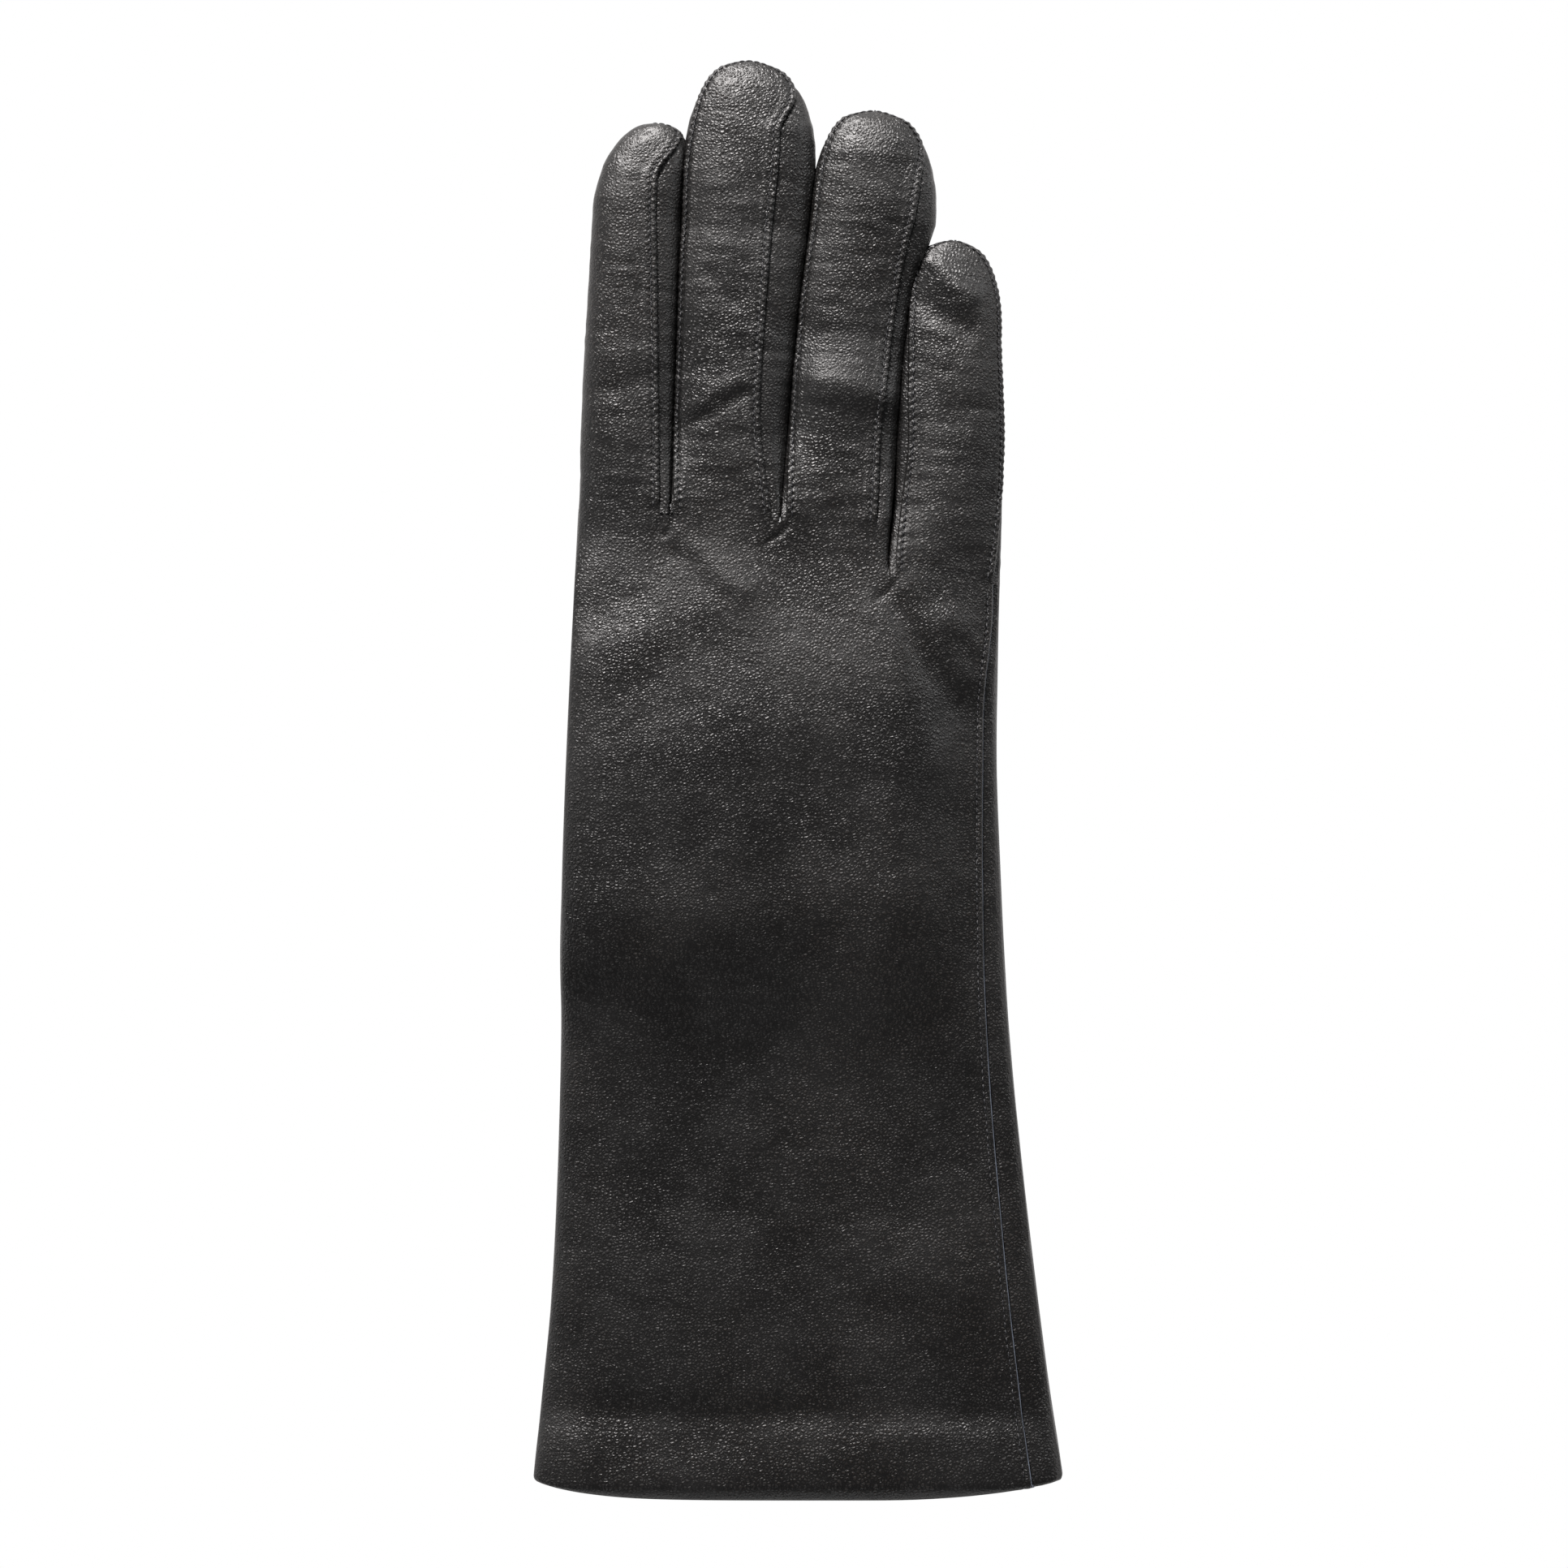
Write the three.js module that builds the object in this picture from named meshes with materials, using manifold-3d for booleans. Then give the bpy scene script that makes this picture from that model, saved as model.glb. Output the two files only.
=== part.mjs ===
// A long lined leather dress glove for the right hand, lying palm down with its thumb tucked under the palm.
// Millimetres. +X runs from the index finger to the little finger, +Y from the cuff to the fingertips, +Z up,
// and the glove rests on z = 0. Every skin is a thin closed sheet, so the inside of the glove is open.
import * as THREE from "three";
import { mergeVertices } from "three/addons/utils/BufferGeometryUtils.js";
import Module from "manifold-3d";

const wasm = await Module();
wasm.setup();

// ---- Driving dimensions -------------------------------------------------------------------------------------
const LEATHER = 0.8; // thickness of the glove leather
const LAYER_GAP = 0.35; // air between the leather and the lining
const LINING = 0.7; // thickness of the knitted lining
const SEAM_GAP = 0.2; // each strip stops this far short of its seam line
const JOINT_GAP = 0.4; // each side of a bending line stops this far short of it
const LINING_INSET = LEATHER + LAYER_GAP;
const INSIDE_INSET = LINING_INSET + LINING;

const WRIST_Y = -50; // the line across which the hand bends on the cuff
const WRIST_MITRE = 0.43; // slope of the ends there, for 45 degrees of backward bend
const KNUCKLE_MITRE = 0.3; // slope of the hand's end at the finger roots, for 20 degrees of backward bend
const FOLD_LEAN = 4; // the fingers fold in planes that lean this far to the right of +Y
const FOLD_ORIGIN = [-3.8, 51.8]; // between the middle and ring fingers, on their bending line

// Half outline of hand and cuff, as [y, x] down each side.
const LEFT_SIDE = [
  [-145, -53.8],
  [-125, -51.8],
  [-100, -49.5],
  [-60, -48],
  [-20, -47.4],
  [15, -46.1],
  [60, -44],
];
const RIGHT_SIDE = [
  [-145, 54],
  [-125, 51.2],
  [-92, 47],
  [-52, 42.7],
  [-20, 40.8],
  [10, 39.9],
  [35, 40.5],
  [60, 41.2],
];
// Height of the flattened tube, and how far in from the right side the outseam lies, as [y, value].
const TUBE_HEIGHT = [
  [-145, 10],
  [-120, 9.6],
  [-50, 9.4],
  [0, 9.8],
  [60, 10.8],
];
const OUTSEAM_INSET = [
  [-145, 7.1],
  [-100, 6.3],
  [-40, 4.7],
  [0, 3.3],
  [26, 2.6],
  [45, 1.2],
  [60, 1],
];
const HAND_TOP_POWER = 3.2; // how square the flattened tube's back is

// Hem line: lowest at HEM_LOW_X, rising to both corners.
const HEM_LOW = -144.8;
const HEM_LOW_X = 15;
const HEM_LEFT = { rise: 4, span: 68, power: 6 };
const HEM_RIGHT = { rise: 8, span: 60, power: 2.6 };
const HEM_FACING = 14; // width of leather turned in at the hem
const HEM_SEAM = 1.2; // room for the thread between that leather and the lining

// The tucked thumb lifts the palm over this area.
const THUMB_HEIGHT = 5.2;
const LIFT = THUMB_HEIGHT + 0.5;
const LIFT_Y = [-50, -36, 38, 51]; // starts to rise, flat from, flat to, down again
const LIFT_X = [18, 34]; // flat up to, down by
const BACK_SPREAD = 8; // the back follows the lift more gently, over this much more to the right

// Fingers, in the folding frame: u runs across the hand and v along the fingers from FOLD_ORIGIN. Each has its
// bending lines (root and middle), its outline as [v, centre u, half width] up to where the tip begins, the sideways
// shift of the tip, the height at root and tip, and the seams on each side as quarters of the section: 0 is the
// right side, 1 the top, 2 the left side, 3 underneath. A side with no seam is folded leather.
const FINGERS = [
  {
    name: "index",
    root: 0,
    middle: 33,
    tip: 78.6,
    outline: [
      [0, -31.2, 9],
      [20, -32, 9.4],
      [60, -33.1, 8.9],
    ],
    tipShift: 2.3,
    height: [10.6, 9.2],
    left: null,
    right: { back: 0.5, palm: 3.7 },
  },
  {
    name: "middle",
    root: 0,
    middle: 33,
    tip: 92.5,
    outline: [
      [0, -11, 11],
      [33, -11.3, 11.7],
      [70, -11.2, 12.9],
    ],
    tipShift: -1.5,
    height: [10.8, 9.8],
    left: { back: 1.88, palm: 2.3 },
    right: { back: 0.6, palm: 3.7 },
  },
  {
    name: "ring",
    root: 0,
    middle: 33,
    tip: 84.2,
    outline: [
      [0, 11.2, 11.1],
      [33, 11.4, 10.7],
      [47, 12.1, 10.8],
      [62, 14.5, 12.3],
    ],
    tipShift: -1,
    height: [10.8, 9.6],
    left: { back: 1.65, palm: 2.3 },
    right: { back: 0.5, palm: 3.7 },
  },
  {
    name: "little",
    root: -9.6,
    middle: 12.4,
    tip: 59.3,
    outline: [
      [-9.6, 33.9, 11.3],
      [20, 33.2, 10.6],
      [40, 32.2, 9.4],
    ],
    tipShift: -0.5,
    height: [10.2, 8.8],
    left: { back: 1.67, palm: 2.3 },
    right: null,
  },
];
const FINGER_TOP_POWER = 2.3;
const TIP_POWER = 2.15;
const STALL_EASE = 0.25; // extra room round each finger's lining
const SIDE_ROWS = 5; // the side strips end after this many rows, part way round the tip
const TIP_RISE = 0.4; // the back's tip lies this far above the palm's
const SEAM_QUARTER = SEAM_GAP / 7; // the seam gap as a share of a quarter section
const LITTLE_ROOT_X = 17.9; // between the ring finger's root and the little finger's
const KNUCKLES_Y = 44; // a height near every finger root

// Thumb: pivot under the palm, direction to the right of +Y, reach from the pivot, half widths at the pivot, between
// and where the tip begins, and where the tip begins.
const THUMB = {
  pivot: [-22, -20],
  lean: 25,
  reach: 58,
  half: [14, 13, 11.6],
  tipFrom: 43,
};
const THUMB_POCKET_R = 16;
const THUMB_RIM = THUMB_POCKET_R + 0.5;
const THUMB_HOLE_R = 14.2;
const THUMB_SWING = 65;
const THUMB_WINDOW = 58; // half angle that the thumb takes at the pocket's rim

const THREAD_R = 0.25;

// ---- Small helpers ------------------------------------------------------------------------------------------
const rad = THREE.MathUtils.degToRad;
const lerp = THREE.MathUtils.lerp;
const smoothstep = THREE.MathUtils.smoothstep;

// Smooth curve through [key, value] points, with the slopes of a Catmull-Rom spline.
function curve(points, key) {
  const last = points.length - 1;
  const k = Math.min(Math.max(key, points[0][0]), points[last][0]);
  let i = 0;
  while (i < last - 1 && k > points[i + 1][0]) i++;
  const slope = (j) => {
    const a = points[Math.max(j - 1, 0)];
    const b = points[Math.min(j + 1, last)];
    return (b[1] - a[1]) / (b[0] - a[0]);
  };
  const [x0, y0] = points[i];
  const [x1, y1] = points[i + 1];
  const d = x1 - x0;
  const t = (k - x0) / d;
  const m0 = slope(i) * d;
  const m1 = slope(i + 1) * d;
  return (
    (2 * t ** 3 - 3 * t ** 2 + 1) * y0 +
    (t ** 3 - 2 * t ** 2 + t) * m0 +
    (3 * t ** 2 - 2 * t ** 3) * y1 +
    (t ** 3 - t ** 2) * m1
  );
}

// How far the tucked thumb lifts the palm (share 0) and the back (share 1) at a place.
function lift(x, y, share) {
  const area = (spread) =>
    smoothstep(y, LIFT_Y[0], LIFT_Y[1]) *
    (1 - smoothstep(y, LIFT_Y[2], LIFT_Y[3])) *
    (1 - smoothstep(x, LIFT_X[0], LIFT_X[1] + spread));
  return LIFT * lerp(area(0), area(BACK_SPREAD), Math.min(Math.max(share, 0), 1));
}

function hemY(x) {
  const side = x < HEM_LOW_X ? HEM_LEFT : HEM_RIGHT;
  return HEM_LOW + side.rise * (Math.abs(x - HEM_LOW_X) / side.span) ** side.power;
}

// A point of a flattened tube's section. q counts quarters from the right side over the top. The back is a
// superellipse and the underside is flat between two corners of the given width; inner layers keep the same place
// across, except near the sides. Returns [sideways, height above the resting plane].
function section(q, half, height, inset, power, corner, flatten = 1) {
  const middle = height / 2;
  const b = Math.max((middle - inset) * flatten, 0);
  const quarter = Math.floor(q) % 4;
  const f = q - Math.floor(q);
  const towards = quarter % 2 ? 1 - f : f; // 0 at the side, 1 on the centre line
  const sign = quarter === 0 || quarter === 3 ? 1 : -1;
  const angle = (towards * Math.PI) / 2;
  if (quarter < 2) {
    const e = 2 / power;
    const share = Math.max(Math.cos(angle), 0) ** e;
    return [sign * Math.max(half * share - inset * share ** 5, 0), middle + b * Math.sin(angle) ** e];
  }
  const flatHalf = Math.max(half - corner, 0);
  const turn = (Math.min(towards * 2, 1) * Math.PI) / 2;
  const flat = Math.max(towards * 2 - 1, 0);
  const reach = Math.max(half - inset - flatHalf, 0);
  return [sign * (flatHalf * (1 - flat) + reach * Math.cos(turn)), middle - b * Math.sin(turn)];
}

// ---- Closed thin sheets -------------------------------------------------------------------------------------
// Joins an outer and an inner grid of points into one closed body. Both are functions of column and row.
function thinSheet(columns, rows, outer, inner, wrap = false) {
  const triangles = [];
  const add = (a, b, c) => {
    const flat =
      a.distanceTo(b) < 1e-3 || b.distanceTo(c) < 1e-3 || a.distanceTo(c) < 1e-3;
    if (!flat) triangles.push(a, b, c);
  };
  const quad = (a, b, c, d) => {
    add(a, b, c);
    add(a, c, d);
  };
  const grid = (at) =>
    Array.from({ length: rows + 1 }, (_, j) =>
      Array.from({ length: columns + 1 }, (_, i) =>
        at(wrap && i === columns ? 0 : i, j),
      ),
    );
  const out = grid(outer);
  const back = grid(inner);
  for (let j = 0; j < rows; j++)
    for (let i = 0; i < columns; i++) {
      quad(out[j][i], out[j][i + 1], out[j + 1][i + 1], out[j + 1][i]);
      quad(back[j][i], back[j + 1][i], back[j + 1][i + 1], back[j][i + 1]);
    }
  for (let i = 0; i < columns; i++) {
    quad(out[0][i + 1], out[0][i], back[0][i], back[0][i + 1]);
    quad(out[rows][i], out[rows][i + 1], back[rows][i + 1], back[rows][i]);
  }
  if (!wrap)
    for (let j = 0; j < rows; j++) {
      quad(out[j][0], out[j + 1][0], back[j + 1][0], back[j][0]);
      quad(out[j + 1][columns], out[j][columns], back[j][columns], back[j + 1][columns]);
    }
  let volume = 0;
  for (let i = 0; i < triangles.length; i += 3)
    volume += triangles[i].dot(triangles[i + 1].clone().cross(triangles[i + 2]));
  if (volume < 0)
    for (let i = 0; i < triangles.length; i += 3)
      [triangles[i + 1], triangles[i + 2]] = [triangles[i + 2], triangles[i + 1]];
  return new THREE.BufferGeometry().setFromPoints(triangles);
}

function toSolid(geometry) {
  const plain = new THREE.BufferGeometry().setAttribute(
    "position",
    (geometry.index ? geometry.toNonIndexed() : geometry).getAttribute("position"),
  );
  const merged = mergeVertices(plain, 1e-3);
  return new wasm.Manifold(
    new wasm.Mesh({
      numProp: 3,
      vertProperties: merged.attributes.position.array,
      triVerts: new Uint32Array(merged.index.array),
    }),
  );
}

function toGeometry(solid) {
  const mesh = solid.getMesh();
  return new THREE.BufferGeometry()
    .setAttribute("position", new THREE.BufferAttribute(mesh.vertProperties, 3))
    .setIndex(new THREE.BufferAttribute(mesh.triVerts, 1));
}

// An upright cylinder at [x, y] from z = low to z = high.
function upright([x, y], radius, low, high, sides = 28) {
  const shape = new THREE.CylinderGeometry(radius, radius, high - low, sides);
  shape.rotateX(Math.PI / 2);
  shape.translate(x, y, (low + high) / 2);
  return toSolid(shape);
}

// A round thread through a list of points. A loop's two ends stop just short of each other.
function thread(points, steps, loop = false) {
  const through = loop ? [...points, points.at(-1).clone().lerp(points[0], 0.9)] : points;
  const profile = new THREE.Shape();
  profile.absarc(0, 0, THREAD_R, 0, Math.PI * 2);
  return new THREE.ExtrudeGeometry(profile, {
    steps,
    extrudePath: new THREE.CatmullRomCurve3(through),
    curveSegments: 3,
    bevelEnabled: false,
  });
}

// ---- The object ---------------------------------------------------------------------------------------------
const glove = new THREE.Group();
const finish = (color, roughness) =>
  new THREE.MeshStandardMaterial({ color, roughness, metalness: 0 });
const FINISHES = {
  leather: () => finish(0x242223, 0.48),
  lining: () => finish(0x17181b, 0.95),
  thread: () => finish(0x1b1b1d, 0.6),
};

function addPiece(name, geometry, material) {
  const mesh = new THREE.Mesh(geometry, FINISHES[material]());
  mesh.name = name;
  glove.add(mesh);
}

// ---- Hand and cuff: one flattened tube that narrows from the hem to the fingers ------------------------------
const middleX = (y) => (curve(LEFT_SIDE, y) + curve(RIGHT_SIDE, y)) / 2;
const halfWidth = (y) => (curve(RIGHT_SIDE, y) - curve(LEFT_SIDE, y)) / 2;
const tubeHeight = (y) => curve(TUBE_HEIGHT, y);
// Which quarter position of the section lies at a share of the half width, on the back or on the palm.
const onBack = (share) => {
  const angle = Math.acos(Math.min(Math.abs(share), 1) ** (HAND_TOP_POWER / 2));
  const f = angle / (Math.PI / 2);
  return share >= 0 ? f : 2 - f;
};
const PALM_FLAT = 0.88; // the palm is flat over this share of the half width
const onPalm = (share) => {
  const size = Math.abs(share);
  const corner = Math.max(size - PALM_FLAT, 0) / (1 - PALM_FLAT);
  const towards = corner > 0 ? Math.acos(corner) / Math.PI : 1 - (0.5 * size) / PALM_FLAT;
  return share >= 0 ? 4 - towards : 2 + towards;
};
const outseamShare = (y) => 1 - curve(OUTSEAM_INSET, y) / halfWidth(y);

// A point of the hand or cuff. q is the place round the section, y the place along the glove.
function tubePoint(q, y, inset) {
  const half = halfWidth(y);
  const corner = half * (1 - PALM_FLAT);
  const [dx, z] = section(q, half, tubeHeight(y), inset, HAND_TOP_POWER, corner);
  const x = middleX(y) + dx;
  return new THREE.Vector3(x, y, z + lift(x, y, z / tubeHeight(y)));
}

// Where the hand ends, below the bending line of the finger roots above x.
function knuckleY(x, z) {
  const root = x > LITTLE_ROOT_X ? FINGERS[3].root : FINGERS[0].root;
  const lean = rad(FOLD_LEAN);
  const line = FOLD_ORIGIN[1] + (root - (x - FOLD_ORIGIN[0]) * Math.sin(lean)) / Math.cos(lean);
  return line - JOINT_GAP - KNUCKLE_MITRE * z;
}

const LITTLE_SHARE = (LITTLE_ROOT_X - middleX(KNUCKLES_Y)) / halfWidth(KNUCKLES_Y);
const STEP_SHARE = 0.008; // half the width of the step between the ring and little finger roots
const LEFT_SHARES = [-1, -0.98, -0.93, -0.86, -0.7, -0.4, -0.1, 0.2];
const ACROSS = [...LEFT_SHARES, LITTLE_SHARE - STEP_SHARE, LITTLE_SHARE + STEP_SHARE, 0.66, 0.82];

// Where a column of the tube, a function of y that gives its quarter position, meets a line that is a function of
// x and z. Every layer ends there together.
function meet(column, line, near) {
  const places = (y) => [0, INSIDE_INSET].map((depth) => tubePoint(column(y), y, depth));
  const step = (y) => {
    const [outer, inner] = places(y);
    return line(outer.x, Math.max(outer.z, inner.z));
  };
  return step(step(step(near)));
}

// A sheet of the tube between two lines, with one column for each function in columns.
function tubeSheet(columns, rows, start, end, outset, inset, wrap = false) {
  const ends = columns.map((column) => [meet(column, start, WRIST_Y), meet(column, end, KNUCKLES_Y)]);
  const at = (depth) => (i, j) => {
    const y = lerp(...ends[i], j / rows);
    return tubePoint(columns[i](y), y, depth);
  };
  return thinSheet(wrap ? columns.length : columns.length - 1, rows, at(outset), at(inset), wrap);
}

const fixed = (q) => () => q;
const seamQ = (y, offset) => onBack(outseamShare(y) + offset / halfWidth(y));
const backAcross = ACROSS.slice(1).reverse().map((share) => fixed(onBack(share)));
const palmAcross = [...ACROSS.slice(1), 0.93, 0.98].map((share) => fixed(onPalm(share)));
// From the right side up to the outseam, as shares of the way.
const sideColumns = (shares, offset) => shares.map((t) => (y) => t * seamQ(y, offset));
const backColumns = [
  (y) => seamQ(y, -SEAM_GAP),
  (y) => seamQ(y, -3 * SEAM_GAP),
  ...backAcross,
  fixed(1.99),
];
const palmColumns = [
  fixed(2.01),
  ...palmAcross,
  fixed(4),
  ...sideColumns([0.3, 0.65, 1], SEAM_GAP).map((q) => (y) => 4 + q(y)),
];
const liningColumns = [
  ...sideColumns([0, 0.3, 0.65, 1], 0),
  ...backAcross,
  fixed(2),
  ...palmAcross,
];

const wristLow = (x, z) => WRIST_Y - JOINT_GAP - WRIST_MITRE * z;
const wristHigh = (x, z) => WRIST_Y + JOINT_GAP + WRIST_MITRE * z;
const hem = (x) => hemY(x);
const facingEdge = (x) => hemY(x) + HEM_FACING;
const liningEdge = (x) => hemY(x) + HEM_FACING + HEM_SEAM;

addPiece("cuff_back", tubeSheet(backColumns, 5, hem, wristLow, 0, LEATHER), "leather");
addPiece("cuff_palm", tubeSheet(palmColumns, 5, hem, wristLow, 0, LEATHER), "leather");
addPiece(
  "hem_facing",
  tubeSheet(liningColumns, 1, hem, facingEdge, LINING_INSET, LINING_INSET + LEATHER, true),
  "leather",
);
addPiece(
  "cuff_lining",
  tubeSheet(liningColumns, 5, liningEdge, wristLow, LINING_INSET, INSIDE_INSET, true),
  "lining",
);

addPiece("hand_back", tubeSheet(backColumns, 9, wristHigh, knuckleY, 0, LEATHER), "leather");
const thumbHole = upright(THUMB.pivot, THUMB_HOLE_R, -1, LIFT + INSIDE_INSET + 1.5);
const cutHole = (geometry) => toGeometry(toSolid(geometry).subtract(thumbHole));
addPiece(
  "hand_palm",
  cutHole(tubeSheet(palmColumns, 9, wristHigh, knuckleY, 0, LEATHER)),
  "leather",
);
addPiece(
  "hand_lining",
  cutHole(
    tubeSheet(liningColumns, 9, wristHigh, knuckleY, LINING_INSET, INSIDE_INSET, true),
  ),
  "lining",
);

// ---- Fingers: four stalls, each in two parts on either side of the middle bending line -----------------------
// A point of a finger: v along it and q round the section, in the folding frame.
function fingerPoint(finger, v, q, inset) {
  const from = finger.outline.at(-1)[0];
  const along = Math.min(Math.max((v - from) / (finger.tip - inset - from), 0), 1);
  const shrink = Math.max(1 - along ** TIP_POWER, 0) ** (1 / TIP_POWER);
  const centre = curve(finger.outline.map(([at, u]) => [at, u]), v);
  const half = curve(finger.outline.map(([at, , width]) => [at, width]), v);
  const height = lerp(...finger.height, (v - finger.root) / (finger.tip - finger.root));
  const [across, z] = section(q, half, height, inset, FINGER_TOP_POWER, height * 0.55, shrink);
  const u = centre + across * shrink + finger.tipShift * along ** 2;
  const lean = rad(FOLD_LEAN);
  const x = FOLD_ORIGIN[0] + u * Math.cos(lean) + v * Math.sin(lean);
  const y = FOLD_ORIGIN[1] - u * Math.sin(lean) + v * Math.cos(lean);
  return new THREE.Vector3(x, y, z);
}

function tipShare(finger, v) {
  const from = finger.outline.at(-1)[0];
  return Math.max((v - from) / (finger.tip - from), 0);
}
const tipOpen = (finger, v) => 1 - smoothstep(tipShare(finger, v), 0, 0.95);

// Rows along a finger, as functions of how deep the layer lies. Rows close up towards the round tip.
const TIP_TURNS = [20, 40, 58, 74, 90];
function lowerRows({ root, middle }) {
  return [0, 0.5, 1].map((t) => () => lerp(root + JOINT_GAP, middle - JOINT_GAP, t));
}
function upperRows({ middle, outline, tip }) {
  const from = outline.at(-1)[0];
  const straight = [middle + JOINT_GAP, (middle + from) / 2, from].map((v) => () => v);
  const round = TIP_TURNS.map(
    (turn) => (depth) => from + (tip - depth - from) * Math.sin(rad(turn)),
  );
  return [...straight, ...round];
}

// A strip of one finger's leather between two seams, each a quarter position as a function of v.
function strip(finger, columns, rows, from, to, tipRise = 0) {
  const at = (depth) => (i, j) => {
    const v = rows[j](depth);
    const point = fingerPoint(finger, v, (lerp(from(v), to(v), i / columns) + 4) % 4, depth);
    point.z += tipRise * tipShare(finger, v) ** 2;
    return point;
  };
  return thinSheet(columns, rows.length - 1, at(0), at(LEATHER));
}

// The knitted stall inside a finger.
function liningTube(finger, rows, columns = 16) {
  const at = (depth) => (i, j) => fingerPoint(finger, rows[j](depth), (4 * i) / columns, depth);
  const layers = [LINING_INSET, INSIDE_INSET].map((depth) => at(depth + STALL_EASE));
  return thinSheet(columns, rows.length - 1, ...layers, true);
}

function addFinger(finger) {
  const left = finger.left || { back: 2, palm: 2 };
  const right = finger.right || { back: 0, palm: 4 };
  // The side strips narrow towards the tip, where the back and the palm meet.
  const backLeft = (v) => 2 - (2 - left.back) * tipOpen(finger, v) - SEAM_QUARTER;
  const backRight = (v) => right.back * tipOpen(finger, v) + SEAM_QUARTER;
  const palmLeft = (v) => 2 + (left.palm - 2) * tipOpen(finger, v) + SEAM_QUARTER;
  const palmRight = (v) => 4 - (4 - right.palm) * tipOpen(finger, v) - SEAM_QUARTER;
  const sideLeft = [(v) => backLeft(v) + 2 * SEAM_QUARTER, (v) => palmLeft(v) - 2 * SEAM_QUARTER];
  const sideRight = [(v) => palmRight(v) + 2 * SEAM_QUARTER, (v) => 4 + backRight(v) - 2 * SEAM_QUARTER];
  const parts = [
    { part: "lower", rows: lowerRows(finger) },
    { part: "upper", rows: upperRows(finger) },
  ];
  for (const { part, rows } of parts) {
    const sideRows = rows.slice(0, SIDE_ROWS);
    const leather = (piece, ...shape) =>
      addPiece(`${finger.name}_${piece}_${part}`, strip(finger, ...shape), "leather");
    leather("back", 8, rows, backRight, backLeft, TIP_RISE);
    leather("palm", 8, rows, palmLeft, palmRight);
    if (finger.left) leather("fourchette_left", 4, sideRows, ...sideLeft);
    if (finger.right) leather("fourchette_right", 4, sideRows, ...sideRight);
    addPiece(`${finger.name}_lining_${part}`, liningTube(finger, rows), "lining");
  }
}

FINGERS.forEach(addFinger);

// ---- Thumb: a pocket under the hole in the palm, and the stall that swings on it ------------------------------
function addPocket() {
  const wall = upright(THUMB.pivot, THUMB_POCKET_R, 0, THUMB_HEIGHT);
  const hollow = upright(THUMB.pivot, THUMB_POCKET_R - LEATHER, LEATHER, THUMB_HEIGHT + 1);
  const window = new THREE.Shape();
  const far = THUMB_POCKET_R * 3;
  const from = rad(90 - THUMB.lean - THUMB_WINDOW);
  const to = rad(90 - THUMB.lean + THUMB_SWING + THUMB_WINDOW);
  window.moveTo(0, 0);
  window.absarc(0, 0, far, from, to, false);
  window.closePath();
  const wedge = new THREE.ExtrudeGeometry(window, {
    depth: THUMB_HEIGHT,
    curveSegments: 8,
    bevelEnabled: false,
  });
  wedge.translate(THUMB.pivot[0], THUMB.pivot[1], LEATHER);
  addPiece("thumb_pocket", toGeometry(wall.subtract(hollow).subtract(toSolid(wedge))), "leather");
}

// A point of the thumb: s runs from the pivot to the tip. Its open end is an arc round the pivot, so that it turns
// on the pocket's rim.
function thumbPoint(s, q, inset) {
  const { pivot, lean, reach, half, tipFrom } = THUMB;
  const along = Math.min(Math.max((s - tipFrom) / (reach - inset - tipFrom), 0), 1);
  const shrink = Math.max(1 - along ** 2, 0) ** 0.5;
  const wide = curve([[0, half[0]], [tipFrom / 2, half[1]], [tipFrom, half[2]]], s);
  const corner = THUMB_HEIGHT * 0.55;
  const [across, z] = section(q, wide, THUMB_HEIGHT, inset, FINGER_TOP_POWER, corner, shrink);
  const sideways = across * shrink;
  const rim = Math.sqrt(THUMB_RIM ** 2 - Math.min(Math.abs(sideways), THUMB_RIM) ** 2);
  const start = lerp(rim, s, smoothstep(s, THUMB_RIM, THUMB_RIM + 10));
  const a = rad(lean);
  return new THREE.Vector3(
    pivot[0] + start * Math.sin(a) + sideways * Math.cos(a),
    pivot[1] + start * Math.cos(a) - sideways * Math.sin(a),
    z,
  );
}

function addThumb() {
  const { reach, tipFrom } = THUMB;
  const straight = [THUMB_RIM, THUMB_RIM + 5, THUMB_RIM + 10, tipFrom].map((s) => () => s);
  const round = TIP_TURNS.map((turn) => (depth) => tipFrom + (reach - depth - tipFrom) * Math.sin(rad(turn)));
  const rows = [...straight, ...round];
  const half = (from, to, rise) => {
    const at = (depth) => (i, j) => {
      const s = rows[j](depth);
      const point = thumbPoint(s, lerp(from, to, i / 8) % 4, depth);
      point.z += rise * Math.max((s - tipFrom) / (reach - tipFrom), 0) ** 2;
      return point;
    };
    return thinSheet(8, rows.length - 1, at(0), at(LEATHER));
  };
  addPiece("thumb_upper_half", half(SEAM_QUARTER, 2 - SEAM_QUARTER, 0.3), "leather");
  addPiece("thumb_lower_half", half(2 + SEAM_QUARTER, 4 - SEAM_QUARTER, 0), "leather");
  const columns = 16;
  const at = (depth) => (i, j) => thumbPoint(rows[j](depth), (4 * i) / columns, depth);
  const layers = [LINING_INSET, INSIDE_INSET].map((depth) => at(depth + STALL_EASE));
  addPiece("thumb_lining", thinSheet(columns, rows.length - 1, ...layers, true), "lining");
}

addPocket();
addThumb();

// ---- Threads --------------------------------------------------------------------------------------------------
// The outseam's thread lies on the back, just inside its cut edge.
const STITCH_INSET = 1.4;
function seamThread(y0, y1, steps) {
  const count = 8;
  const points = Array.from({ length: count + 1 }, (_, i) => {
    const y = lerp(y0, y1, i / count);
    const point = tubePoint(seamQ(y, -STITCH_INSET), y, 0);
    point.z += THREAD_R + 0.3;
    return point;
  });
  return thread(points, steps);
}
addPiece("outseam_thread_cuff", seamThread(-140, WRIST_Y - 5, 24), "thread");
addPiece("outseam_thread_hand", seamThread(WRIST_Y + 5, 38, 24), "thread");

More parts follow.
